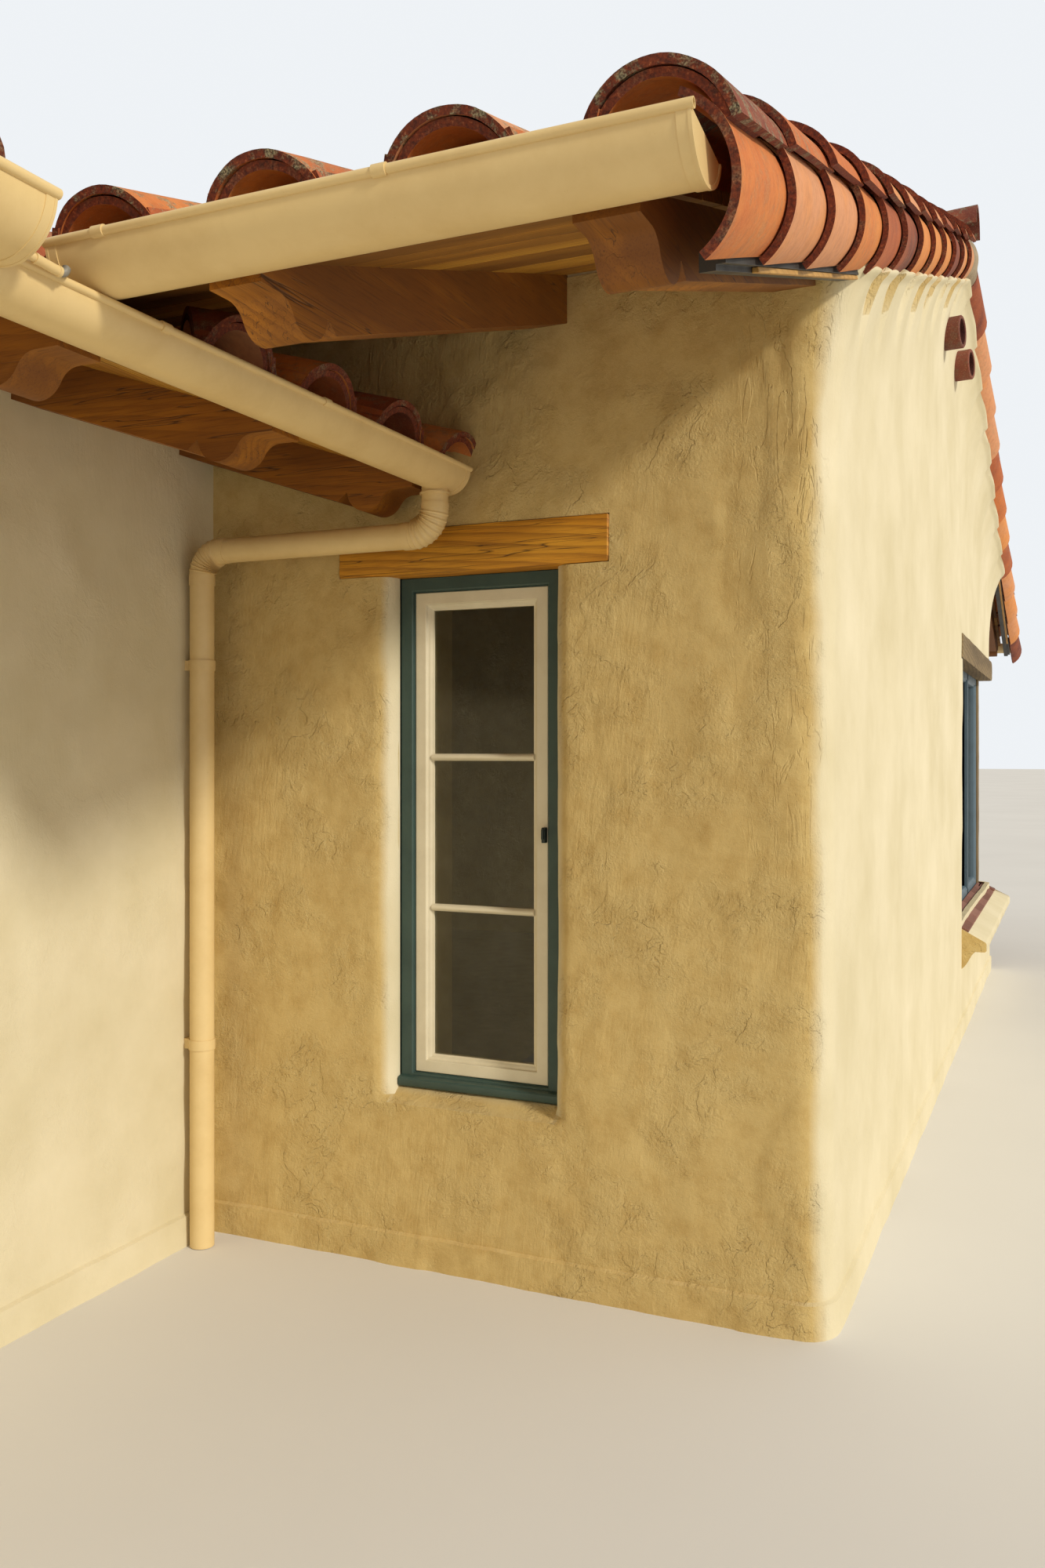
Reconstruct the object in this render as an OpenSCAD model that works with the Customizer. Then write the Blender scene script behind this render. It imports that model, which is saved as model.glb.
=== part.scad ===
// Adobe house with a clay tile roof: a main range under a gabled roof, and a
// lower wing in front of it. X runs along the main range, Y runs from front to
// back and Z is up. The origin is on the ground, where the middle of the wing
// meets the front face of the main range. Lengths are in millimetres.

/* [Plan] */
// Length of the main range, between the faces of its gable walls
range_len = 8032; // [7400:8:9200]
// Depth of the main range, between the faces of its long walls
range_depth = 6100; // [5600:10:6800]
// Width of the wing, between the faces of its side walls
wing_width = 4200; // [3900:10:4600]
// Length of the wing in front of the main range
wing_len = 5000; // [4700:10:5600]
// Length of the low link roof between the main range and the wing's own roof
link_len = 1720; // [1650:10:1900]
// Thickness of the adobe walls
wall_t = 400; // [340:5:460]
// Radius of the rounded outer wall corners
corner_r = 80; // [40:5:120]
// Thickness of the floor slab
slab_t = 100; // [80:5:140]

/* [Roof] */
// Underside of the main rafters at the wall's face
range_seat = 2687; // [2660:1:2760]
// Underside of the link's rafters at the wall's face
wing_seat = 2405; // [2380:1:2430]
// Height of the wing's own roof above the link roof
wing_step = 110; // [90:5:130]
// Rise of the roof in a run of twelve
rise_in_12 = 4; // [3.9:0.05:4.1]
// Overhang of the main rafters
range_eave = 1420; // [1380:5:1460]
// Overhang of the link's rafters
link_eave = 807; // [787:2:827]
// Overhang of the wing's own rafters
wing_eave = 866; // [846:5:896]
// Depth of a rafter, measured plumb
rafter_h = 135; // [120:1:150]
// Thickness of a rafter
rafter_t = 110; // [90:1:120]
// Spacing of the rafters in the main range
rafter_step = 690; // [650:5:720]
// Spacing of the rafters in the link
link_rafter_step = 660; // [640:5:680]
// Thickness of the roof boards, measured plumb
deck_t = 25; // [20:1:30]

/* [Rafter tails] */
// Height of the nose at the tip of a tail
nose_h = 32; // [25:1:40]
// Radius of the belly of the scroll
belly_r = 60; // [50:1:65]
// Radius of the cove under the nose
cove_r = 50; // [40:1:55]
// Length of the carved tail, from its tip to the notch
tail_len = 242; // [235:1:260]

/* [Clay tiles] */
// Radius of a cover tile at its wide end
tile_r = 125; // [120:0.5:128]
// Thickness of a tile
tile_t = 14; // [12:0.5:16]
// Height of the cover tiles' axes above the boards
cover_lift = 12; // [9:1:15]
// Target spacing of the tile columns
column_step = 335; // [325:1:345]
// Length of tile left bare by the next course
exposure = 381; // [360:1:400]
// Loss of radius along the bare length of a tile
taper = 18; // [14:1:22]
// Overhang of the tiles beyond the boards
tile_over = 80; // [70:1:90]
// Radius of the rake tiles at their wide end
rake_r = 122; // [118:0.5:124]
// Radius of the ridge's cap tiles at their wide end
cap_r = 117; // [112:0.5:122]

/* [Gutters] */
// Outer radius of a gutter of the main range
gutter_r = 78; // [72:1:82]
// Outer radius of the link's gutters
link_gutter_r = 67; // [62:1:70]
// Outer radius of the wing's gutters
wing_gutter_r = 96; // [92:1:100]
// Wall of a gutter or a pipe
sheet_t = 3; // [2:0.5:4]
// Radius of the rolled bead
bead_r = 8; // [6:0.5:9]
// Radius of a downspout
pipe_r = 38; // [34:1:42]

/* [Windows] */
// Width of a casement window's frame
window_w = 518; // [480:2:560]
// Height of a window's sill above the ground
window_sill = 505; // [480:5:540]
// Height of a window's head above the ground
window_head = 2020; // [1980:5:2060]
// Distance from the inside corner of the house to the window's middle
window_off = 901; // [880:1:960]
// Depth of a lintel
lintel_h = 133; // [120:1:150]
// Reach of a lintel past each side of a window
lintel_reach = 171; // [150:1:190]
// Setback of a window's frame from the wall's face
reveal = 70; // [60:1:90]
// Height of the corner windows' sill
corner_sill = 600; // [560:5:640]
// Height of the corner windows' head
corner_head = 2000; // [1960:5:2015]
// Length of a corner window along the gable wall
corner_side = 2250; // [2050:10:2350]
// Length of a corner window along the rear wall
corner_back = 1200; // [1000:10:1300]

/* [Hidden] */
$fn = 48;

slope = rise_in_12 / 12;
pitch = atan(slope);
gable_x = range_len / 2;
ridge_y = range_depth / 2;
wing_x = wing_width / 2;
wing_y = -wing_len;
link_y = -link_len;
own_seat = wing_seat + wing_step;

// Underside of the roof boards over a wall's face
range_top = range_seat + rafter_h;
link_top = wing_seat + rafter_h;
own_top = own_seat + rafter_h;

// In plan, the valleys lie where |x| + y comes to this sum
valley_sum = wing_x + (wing_seat - range_seat) / slope;
valley_gap = 2;

// Clearance between pieces that only seem to touch, and a length past every edge
snug = 0.3;
far = 9000;

// Roof framing
cover_in = 20;
beam_t = 50;
beam_h = 200;
header_t = 200;
header_h = 300;
header_y = (wall_t - header_t) / 2;
header_notch = 30;
header_top = range_seat + slope * header_y + header_notch;
header_bearing = 200;
notch_lean = 28;
belly_out = 150;
belly_low = 140;
barge_embed = 300;

// Clay tiles
pan_r = 100;
pan_top = 80;
rake_out = 40;
rake_drop = 29;
rake_under = 62;
ridge_half = cap_r;
barrel_lap = 76;
link_first = -67;
own_inset = 147;
cap_over = 145;
cap_meet = 14;
cap_z = 92;

// Gutters and pipes
back_trim = 20;
hanger_w = 25;
elbow_r = 70;
crimps = 6;
crimp_h = 2.5;
crimp_w = 4;
spout_y = 130;
spout_x = 60;
outlet_drop = 118;
outlet_in = 14;
strap_w = 30;
strap_heights = [600, 1750];
gutter_lift = 14;
link_gutter_lift = 5;
wing_gutter_lift = -15;
gutter_past = 64;
hanger_first = 117;
link_hanger_first = 730;
hanger_step = 547;
gutter_end = 20;
gutter_joint = 4;
link_gutter_stop = 75;
thin_pipe_r = 7;
thin_pipe_up = 31;
sleeve_at = 60;
sleeve_len = 30;
sleeve_t = 3;

// Openings
frame_t = 44;
frame_d = 70;
sash_t = 52;
sash_d = 40;
sash_in = 8;
muntin_t = 21;
glass_t = 6;
lites = 3;
reveal_r = 60;
sill_drop = 35;
lintel_d = 150;
lintel_proud = 12;
latch_w = 12;
latch_h = 40;
latch_d = 10;
latch_in = 2;
latch_up = 667;
corner_lintel_proud = 20;
corner_lintel_reach = 85;
post_t = 140;
post_in = 60;
mullion_t = 55;
side_lights = 3;
back_lights = 2;
sill_out = 130;
sill_fall = 110;
shelf_t = 50;
strip_t = 12;
strip_in = 5;
strip_out = 39;
door_w = 960;
door_h = 2060;
door_t = 45;
door_in = 10;
door_play = 3;
door_boards = 7;
groove = 8;
knob_r = 28;
knob_stem_r = 12;
knob_out = 45;
knob_in = 90;
knob_z = 1000;
vent_r = 71.5;
vent_t = 15;
vent_out = 100;
vent_apart = 260;
vent_drop = 433;

// Places of the casement windows: a point on the wall's face and the turn of
// the wall, for a wall that faces the front at no turn
window_x = wing_x + window_off;
side_window_y = (wing_y + link_y) / 2;
rear_window_x = 1000;
WINDOWS = [
    [[window_x, 0], 0], [[-window_x, 0], 0],
    [[wing_x, side_window_y], 90], [[-wing_x, side_window_y], -90],
    [[rear_window_x, range_depth], 180], [[-rear_window_x, range_depth], 180]
];

// Frames of reference for the roof slopes: local x runs along the eave, local
// y runs in from the wall's face and z is the height above the ground
module rear() translate([0, range_depth, 0]) mirror([0, 1, 0]) children();
module wing_side() translate([wing_x, 0, 0]) rotate([0, 0, 90]) children();
module wing_front() translate([0, wing_y, 0]) children();
module both_sides() {
    children();
    mirror([1, 0, 0]) children();
}

// A block from one corner to the other
module block(low, high) translate(low) cube(high - low);

// A profile drawn in local y and z, drawn out along local x
module along_x(x0, x1) translate([x0, 0, 0]) rotate([90, 0, 90]) linear_extrude(x1 - x0) children();

// The roof plane with the given height over the wall's face becomes z = 0
module on_slope(top) translate([0, 0, top]) rotate([pitch, 0, 0]) children();

// The quarter that rounding takes off an upright corner at the origin
module corner_cut(r, h) {
    difference() {
        translate([-1, -1, -1]) cube([r + 1, r + 1, h + 2]);
        translate([r, r, -2]) cylinder(r = r, h = h + 4);
    }
}

// Space of the main roof on its side of the valleys, and above its boards
module range_side() {
    s = valley_sum - valley_gap;
    translate([0, 0, -1])
        linear_extrude(far)
            polygon([[0, s], [far, s - far], [far, far], [-far, far], [-far, s - far]]);
}
module above_range_boards() {
    translate([0, 0, range_top - valley_gap]) rotate([pitch, 0, 0])
        block([-far, (-range_eave - tile_over - valley_gap) / cos(pitch), 0], [far, far, far]);
}

// What the main roof takes from the roof of the link
module kept_from_link() {
    intersection() {
        range_side();
        union() {
            above_range_boards();
            block([-far, -valley_gap, 0], [far, far, far]);
        }
    }
}

// What the link takes from the main roof
module kept_from_range() {
    s = valley_sum;
    translate([0, 0, -1]) linear_extrude(far) polygon([[0, s], [far, s - far], [-far, s - far]]);
}

// Profile of a rafter with a scrolled tail, from its tip to the given run
module tail_profile(eave, run) {
    nose_z = rafter_h - slope * eave - nose_h;
    heel_y = tail_len - eave;
    belly = [belly_out - eave, slope * (belly_low - eave) + belly_r];
    cove_z = nose_z - cove_r;
    cove = [belly[0] - sqrt((belly_r + cove_r) ^ 2 - (belly[1] - cove_z) ^ 2), cove_z];
    polygon([
        [-eave, nose_z], [heel_y - notch_lean, nose_z], [heel_y, slope * heel_y], [run, slope * run],
        [run, slope * run + rafter_h], [-eave, rafter_h - slope * eave]
    ]);
    translate(belly) circle(r = belly_r);
    difference() {
        polygon([[cove[0], nose_z], [belly[0], nose_z], belly, cove]);
        translate(cove) circle(r = cove_r);
    }
}
module plain_profile(start, run) {
    polygon([
        [start, slope * start], [run, slope * run], [run, slope * run + rafter_h],
        [start, slope * start + rafter_h]
    ]);
}
module tailed_rafter(x, seat, eave, run) {
    translate([0, 0, seat]) along_x(x - rafter_t / 2, x + rafter_t / 2) tail_profile(eave, run);
}
module plain_rafter(x, seat, start, run) {
    translate([0, 0, seat]) along_x(x - rafter_t / 2, x + rafter_t / 2) plain_profile(start, run);
}

// Stations of the rafters
barge_x = gable_x - cover_in - rafter_t / 2;
range_run = ridge_y - beam_t / 2;
wing_run = wing_x - beam_t / 2;
inner_count = floor((barge_x - rafter_step / 3) / rafter_step);
// Tails stand out beside the link's gutter, and the rafters further in end on the wall
tails_from = wing_x - gutter_y(link_eave, link_gutter_r) + link_gutter_r + 2 * bead_r;
tail_bays = floor((barge_x - rafter_t / 2 - tails_from) / rafter_step);
front_tails = [for (i = [0:tail_bays]) barge_x - i * rafter_step];
front_inner = [for (i = [tail_bays + 1:inner_count]) barge_x - i * rafter_step];
rear_bays = round(2 * barge_x / rafter_step);
rear_tails = [for (i = [0:rear_bays]) -barge_x + i * 2 * barge_x / rear_bays];
link_tails = [for (i = [0:2]) -rafter_t - i * link_rafter_step];
own_first = link_y - cover_in - rafter_t / 2;
own_last = wing_y + cover_in + rafter_t / 2;
own_bays = round((own_first - own_last) / link_rafter_step);
own_tails = [for (i = [0:own_bays]) own_first + i * (own_last - own_first) / own_bays];

module header_block() {
    half = wing_x - wall_t + header_bearing;
    block([-half, header_y, header_top - header_h], [half, header_y + header_t, header_top]);
}
module front_rafter_set() {
    both_sides() {
        for (x = front_tails)
            tailed_rafter(x, range_seat, range_eave, x == barge_x ? barge_embed : range_run);
        for (x = front_inner) plain_rafter(x, range_seat, header_y, range_run);
    }
    plain_rafter(0, range_seat, header_y, range_run);
}
module rear_rafter_set() {
    for (x = rear_tails)
        tailed_rafter(x, range_seat, range_eave, abs(x) > barge_x - 1 ? barge_embed : range_run);
}
module link_rafter_set() {
    both_sides() wing_side() for (x = link_tails) tailed_rafter(x, wing_seat, link_eave, wing_run);
}
module own_rafter_set() {
    both_sides() wing_side() for (x = own_tails)
        tailed_rafter(x, own_seat, wing_eave, x == own_last ? barge_embed : wing_run);
}

// Walls. A long wall under an eave reaches up to the boards, and the rafters
// pass through pockets in its top
module eave_wall(x0, x1, top) {
    along_x(x0, x1) polygon([[0, 0], [wall_t, 0], [wall_t, top + slope * wall_t], [0, top]]);
}
module window_hole() {
    half = window_w / 2;
    low = window_sill - sill_drop;
    block([-half, -1, window_sill], [half, wall_t + 1, window_head]);
    along_x(-half, half)
        polygon([[-1, low], [reveal, window_sill], [reveal, window_head], [-1, window_head]]);
    both_sides() translate([half, 0, low])
        corner_cut(reveal_r, window_head - window_sill + sill_drop);
    lintel_space();
}
module lintel_space() {
    half = window_w / 2 + lintel_reach;
    block([-half, -1, window_head], [half, lintel_d, window_head + lintel_h]);
}
module at_window(w) translate([w[0][0], w[0][1], 0]) rotate([0, 0, w[1]]) children();
module window_holes() for (w = WINDOWS) at_window(w) window_hole();

module floor_slab() {
    color("lightgray") union() {
        block([wall_t - gable_x, wall_t, 0], [gable_x - wall_t, range_depth - wall_t, slab_t]);
        block([wall_t - wing_x, wing_y + wall_t, 0], [wing_x - wall_t, wall_t, slab_t]);
    }
}

module front_wall() {
    difference() {
        eave_wall(wing_x - wall_t, gable_x, range_top);
        translate([gable_x, 0, 0]) mirror([1, 0, 0]) corner_cut(corner_r, range_top + wall_t);
        front_rafter_set();
        header_block();
        window_holes();
    }
}
module front_wall_right() color("burlywood") front_wall();
module front_wall_left() color("burlywood") mirror([1, 0, 0]) front_wall();

// Outline of a gable wall in y and z, from one long wall to the other
module gable_outline(width, top) {
    polygon([
        [wall_t, 0], [width - wall_t, 0], [width - wall_t, top + slope * wall_t],
        [width / 2, top + slope * width / 2], [wall_t, top + slope * wall_t]
    ]);
}
module vent_places() {
    for (s = [-1, 1])
        translate([gable_x, ridge_y + s * vent_apart, range_top + slope * ridge_y - vent_drop])
            rotate([0, 90, 0]) children();
}
module gable_wall() {
    difference() {
        along_x(gable_x - wall_t, gable_x) gable_outline(range_depth, range_top);
        vent_places() translate([0, 0, -wall_t - 1]) cylinder(r = vent_r + snug, h = wall_t + 2);
        corner_space();
        ridge_beam_set();
    }
}
module gable_wall_right() color("burlywood") gable_wall();
module gable_wall_left() color("burlywood") mirror([1, 0, 0]) gable_wall();

module rear_wall() {
    color("burlywood") difference() {
        rear() eave_wall(-gable_x, gable_x, range_top);
        both_sides() translate([gable_x, range_depth, 0]) mirror([1, 0, 0]) mirror([0, 1, 0])
            corner_cut(corner_r, range_top + wall_t);
        rear() rear_rafter_set();
        both_sides() corner_space();
        window_holes();
    }
}

module wing_wall() {
    difference() {
        wing_side() {
            eave_wall(link_y, 0, link_top);
            eave_wall(wing_y + wall_t, link_y, own_top);
        }
        link_rafter_set();
        own_rafter_set();
        window_holes();
    }
}
module wing_wall_right() color("tan") wing_wall();
module wing_wall_left() color("tan") mirror([1, 0, 0]) wing_wall();

module wing_front_wall() {
    half = door_w / 2 + frame_t + snug;
    color("burlywood") difference() {
        translate([0, wing_y + wall_t, 0]) rotate([90, 0, 0]) linear_extrude(wall_t) wing_gable();
        both_sides() translate([wing_x, wing_y, 0]) mirror([1, 0, 0]) corner_cut(corner_r, far / 2);
        block([-half, wing_y - 1, slab_t], [half, wing_y + wall_t + 1, slab_t + door_h + frame_t]);
        block(
            [-half - lintel_reach, wing_y - 1, slab_t + door_h + frame_t],
            [half + lintel_reach, wing_y + lintel_d, slab_t + door_h + frame_t + lintel_h]
        );
        own_rafter_set();
        ridge_beam_set();
    }
}
module wing_gable() {
    polygon([
        [-wing_x, 0], [wing_x, 0], [wing_x, own_top], [0, own_top + slope * wing_x], [-wing_x, own_top]
    ]);
}

// Lintels, frames, sashes and glass of the casement windows
module lintel_bar(half, z) {
    block([-half + snug, -lintel_proud, z], [half - snug, lintel_d, z + lintel_h]);
}
module lintels() {
    color("peru") {
        for (w = WINDOWS) at_window(w) lintel_bar(window_w / 2 + lintel_reach, window_head);
        wing_front() lintel_bar(door_w / 2 + frame_t + snug + lintel_reach, slab_t + door_h + frame_t);
    }
}
module window_frame() {
    half = window_w / 2;
    difference() {
        block([-half, reveal, window_sill], [half, reveal + frame_d, window_head]);
        block(
            [-half + frame_t, reveal - 1, window_sill + frame_t],
            [half - frame_t, reveal + frame_d + 1, window_head - frame_t]
        );
    }
}
module window_frames() color("darkslategray") for (w = WINDOWS) at_window(w) window_frame();

// Height of one lite, between the sash's rails and its muntins
sash_half = window_w / 2 - frame_t - snug;
sash_low = window_sill + frame_t + snug;
sash_high = window_head - frame_t - snug;
lite_h = (sash_high - sash_low - 2 * sash_t - (lites - 1) * muntin_t) / lites;
module each_lite() {
    for (i = [0:lites - 1]) translate([0, 0, sash_low + sash_t + i * (lite_h + muntin_t)]) children();
}
module window_sash() {
    y0 = reveal + sash_in;
    difference() {
        block([-sash_half, y0, sash_low], [sash_half, y0 + sash_d, sash_high]);
        each_lite() block([sash_t - sash_half, y0 - 1, 0], [sash_half - sash_t, y0 + sash_d + 1, lite_h]);
    }
    latch_x = sash_half - latch_in - latch_w;
    block([latch_x, y0 - latch_d, window_sill + latch_up - latch_h / 2],
        [latch_x + latch_w, y0, window_sill + latch_up + latch_h / 2]);
}
module window_sashes() color("ivory") for (w = WINDOWS) at_window(w) window_sash();
module window_glass() {
    y0 = reveal + sash_in + (sash_d - glass_t) / 2;
    color("lightblue") for (w = WINDOWS) at_window(w) each_lite()
        block([sash_t - sash_half, y0, 0], [sash_half - sash_t, y0 + glass_t, lite_h]);
}

// Corner windows. The two runs of a corner window meet at the rear corner of
// the house: the side run lies in the gable wall, the back run in the rear wall
shelf_z = corner_sill - shelf_t * 2;
module corner_box(out, low, high, extra) {
    x = gable_x;
    y = range_depth;
    block([x - wall_t, y - corner_side - extra, low], [x + out, y + out, high]);
    block([x - corner_back - extra, y - wall_t, low], [x + out, y + out, high]);
}
module corner_space() {
    corner_box(1, shelf_z, corner_head, 0);
    corner_box(1, corner_head, corner_head + lintel_h, corner_lintel_reach);
}
module corner_lintel() {
    difference() {
        corner_box(corner_lintel_proud, corner_head, corner_head + lintel_h, corner_lintel_reach - snug);
        translate([0, 0, corner_head - 1])
            block([gable_x - 2 * wall_t, 0, 0], [gable_x - lintel_d, range_depth - lintel_d, lintel_h + 2]);
    }
}
module corner_lintels() color("peru") both_sides() corner_lintel();
module corner_posts() {
    outer = [gable_x - post_in, range_depth - post_in, corner_head];
    color("sienna") both_sides() block(outer - [post_t, post_t, corner_head - corner_sill], outer);
}

// One run of a corner window: a frame with lights of equal width
module light_run(len, lights, glazed) {
    z0 = corner_sill;
    z1 = corner_head;
    light_w = (len - (lights + 1) * mullion_t) / lights;
    module light(i, y0, y1) {
        x = mullion_t + i * (light_w + mullion_t);
        block([x, y0, z0 + mullion_t], [x + light_w, y1, z1 - mullion_t]);
    }
    if (glazed) {
        for (i = [0:lights - 1]) light(i, (frame_d - glass_t) / 2, (frame_d + glass_t) / 2);
    } else {
        difference() {
            block([0, 0, z0], [len, frame_d, z1]);
            for (i = [0:lights - 1]) light(i, -1, frame_d + 1);
        }
    }
}
module corner_runs(glazed) {
    taken = post_in + post_t + snug;
    both_sides() {
        translate([gable_x - reveal - frame_d / 2, range_depth - corner_side, 0])
            rotate([0, 0, 90]) mirror([0, 1, 0]) translate([0, -frame_d / 2, 0])
                light_run(corner_side - taken, side_lights, glazed);
        translate([gable_x - corner_back, range_depth - reveal - frame_d, 0])
            light_run(corner_back - taken, back_lights, glazed);
    }
}
module corner_frames() color("slategray") corner_runs(false);
module corner_glass() color("lightblue") corner_runs(true);

// The corbelled sill: a sloping shelf over a slanting foot
module sill_profile() {
    edge_z = corner_sill - sill_fall;
    polygon([
        [-wall_t, shelf_z], [-wall_t, corner_sill], [-reveal, corner_sill], [sill_out, edge_z],
        [sill_out, edge_z - shelf_t], [sill_out / 2, edge_z - shelf_t],
        [0, edge_z - 3 * shelf_t], [0, shelf_z]
    ]);
}
function on_sill(u) = corner_sill - sill_fall * (u + reveal) / (sill_out + reveal);
module sill_strip_profile() {
    u0 = -reveal + strip_in;
    u1 = strip_out;
    polygon([[u0, on_sill(u0)], [u1, on_sill(u1)], [u1, on_sill(u1) + strip_t], [u0, on_sill(u0) + strip_t]]);
}
module corner_run_pair(overlap) {
    intersection() {
        translate([gable_x, range_depth - corner_side, 0]) rotate([90, 0, 180])
            mirror([1, 0, 0]) linear_extrude(corner_side + overlap) children();
        mitre_half(1);
    }
    intersection() {
        translate([gable_x - corner_back, range_depth, 0]) rotate([90, 0, 90])
            linear_extrude(corner_back + overlap) children();
        mitre_half(-1);
    }
}
// Half of the plan beside the corner: the gable's half or the rear wall's half
module mitre_half(s) {
    corner = [gable_x, range_depth];
    linear_extrude(far) polygon([corner + [far, far], corner - [far, far], corner + s * [far, -far]]);
}
module corner_sills() color("wheat") both_sides() corner_run_pair(sill_out) sill_profile();
module sill_tiles() color("sienna") both_sides() corner_run_pair(sill_out) sill_strip_profile();

// The closed entrance in the front of the wing
module entry_frame() {
    half = door_w / 2;
    outer = half + frame_t;
    head = slab_t + door_h;
    color("darkslategray") wing_front() difference() {
        block([-outer, reveal, slab_t], [outer, reveal + frame_d, head + frame_t]);
        block([-half, reveal - 1, slab_t - 1], [half, reveal + frame_d + 1, head]);
    }
}
module entry_door() {
    half = door_w / 2 - door_play;
    board_w = 2 * half / door_boards;
    y0 = reveal + door_in;
    knob_x = half - knob_in;
    color("sienna") wing_front() {
        difference() {
            block([-half, y0, slab_t + door_play], [half, y0 + door_t, slab_t + door_h - snug]);
            for (i = [1:door_boards - 1]) translate([-half + i * board_w, y0, slab_t]) rotate([0, 0, 45])
                block([-groove / 2, -groove / 2, 0], [groove / 2, groove / 2, door_h]);
        }
        translate([knob_x, y0 - knob_out, slab_t + knob_z]) {
            rotate([-90, 0, 0]) cylinder(r = knob_stem_r, h = knob_out);
            sphere(r = knob_r);
        }
    }
}

// Roof frame
module header_beam() color("saddlebrown") header_block();
module ridge_beam_set() {
    reach = gable_x - cover_in;
    top = range_top + slope * range_run;
    low_top = link_top + slope * wing_run;
    block([-reach, ridge_y - beam_t / 2, top - beam_h], [reach, ridge_y + beam_t / 2, top]);
    union() {
        wing_beam(link_y - beam_t, (low_top - range_top) / slope - beam_t, low_top);
        wing_beam(wing_y + cover_in, link_y, low_top + wing_step);
    }
}
module wing_beam(y0, y1, top) {
    block([-beam_t / 2, y0, top - beam_h], [beam_t / 2, y1, top]);
}
module ridge_beams() {
    color("saddlebrown") difference() {
        ridge_beam_set();
        plain_rafter(0, range_seat, header_y, range_run);
    }
}
module front_rafters() {
    color("saddlebrown") difference() {
        front_rafter_set();
        header_block();
    }
}
module rear_rafters() color("saddlebrown") rear() rear_rafter_set();
module link_rafters() color("saddlebrown") link_rafter_set();
module wing_rafters() color("saddlebrown") own_rafter_set();

// Boards over the rafters
module boards(x0, x1, top, eave, run) {
    along_x(x0, x1) polygon([
        [-eave, top - slope * eave], [run, top + slope * run],
        [run, top + slope * run + deck_t], [-eave, top - slope * eave + deck_t]
    ]);
}
module front_boards() {
    color("peru") difference() {
        boards(-gable_x, gable_x, range_top, range_eave, ridge_y);
        kept_from_range();
    }
}
module rear_boards() color("peru") rear() boards(-gable_x, gable_x, range_top, range_eave, ridge_y);
module wing_boards() {
    color("peru") {
        difference() {
            both_sides() wing_side() boards(link_y + snug, valley_sum, link_top, link_eave, wing_x);
            kept_from_link();
        }
        both_sides() wing_side() boards(wing_y, link_y, own_top, wing_eave, wing_x);
    }
}

// Clay tile fields: columns of covers with pans between them, drawn out along
// the slope. A rake tile closes the field where it ends over a gable
module cover_profile() {
    difference() {
        translate([0, cover_lift]) circle(r = tile_r);
        translate([0, cover_lift]) circle(r = tile_r - tile_t);
        translate([-far, cover_lift - far]) square([2 * far, far]);
    }
}
module pan_profile() {
    difference() {
        translate([0, pan_r]) circle(r = pan_r);
        translate([0, pan_r]) circle(r = pan_r - tile_t);
        translate([-far, pan_top]) square([2 * far, far]);
    }
}
module field_profile(x0, x1, bays) {
    step = (x1 - x0) / bays;
    for (i = [0:bays]) translate([x0 + i * step, 0]) cover_profile();
    for (i = [0:bays - 1]) translate([x0 + (i + 0.5) * step, 0]) pan_profile();
}
// The rake tile's round back in the field's plane, where the axis of the rake
// tile lies just under the boards' top
module rake_round(x) translate([x, -rake_drop]) circle(r = rake_r + snug);
module drawn_up(eave, run) {
    s0 = -(eave + tile_over) / cos(pitch);
    s1 = (run - ridge_half - 1) / cos(pitch);
    translate([0, s1, 0]) rotate([90, 0, 0]) linear_extrude(s1 - s0) children();
}
range_end = gable_x + rake_out;
range_bays = round(2 * range_end / column_step);
module range_field() {
    on_slope(range_top + deck_t) drawn_up(range_eave, ridge_y) difference() {
        field_profile(-range_end, range_end, range_bays);
        rake_round(range_end);
        rake_round(-range_end);
    }
}
module front_tiles() {
    color("coral") difference() {
        range_field();
        kept_from_range();
    }
}
module rear_tiles() color("coral") rear() range_field();

link_bays = floor((link_len - column_step / 2) / column_step);
module link_tiles() {
    last = link_first - link_bays * column_step;
    behind = ceil(valley_sum / column_step);
    color("coral") difference() {
        both_sides() wing_side() on_slope(link_top + deck_t) drawn_up(link_eave, wing_x) intersection() {
            field_profile(last - column_step, link_first + behind * column_step, link_bays + behind + 1);
            translate([link_y + snug, -far]) square([far, 2 * far]);
        }
        kept_from_link();
        front_gutter_space();
    }
}
own_end = wing_y - rake_out;
own_edge = link_y - own_inset;
own_columns = round((own_edge - own_end) / column_step);
module wing_tiles() {
    color("coral") both_sides() wing_side() on_slope(own_top + deck_t)
        drawn_up(wing_eave, wing_x) difference() {
            field_profile(own_end, own_edge, own_columns);
            rake_round(own_end);
        }
}

// A run of lapped barrel tiles: each has a wide lower end and tapers up the
// slope, so that the run is a revolved profile with a step at every course.
// The run starts at the origin and lies along +Y
module barrel_run(len, r) {
    count = max(1, round(len / exposure));
    bare = len / count;
    lap = min(barrel_lap, bare);
    outer = [for (i = [0:count - 1]) for (e = [0, 1]) [r - e * taper, (i + e) * bare]];
    under = taper * lap / bare;
    inner = [for (i = [count - 1:-1:0]) for (e = [1, 0])
        [
            r - tile_t - (e == 1 ? taper : i > 0 ? under : 0),
            min(len, (i + e) * bare + (i + e > 0 ? lap : 0))
        ]
    ];
    rotate([-90, 0, 0]) rotate_extrude() polygon(concat(outer, inner));
}
module rake_run(eave, run, top) {
    s0 = -(eave + tile_over) / cos(pitch);
    s1 = (run - ridge_half - 1) / cos(pitch);
    on_slope(top + deck_t) translate([0, s0, -rake_drop]) barrel_run(s1 - s0, rake_r);
}
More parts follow.
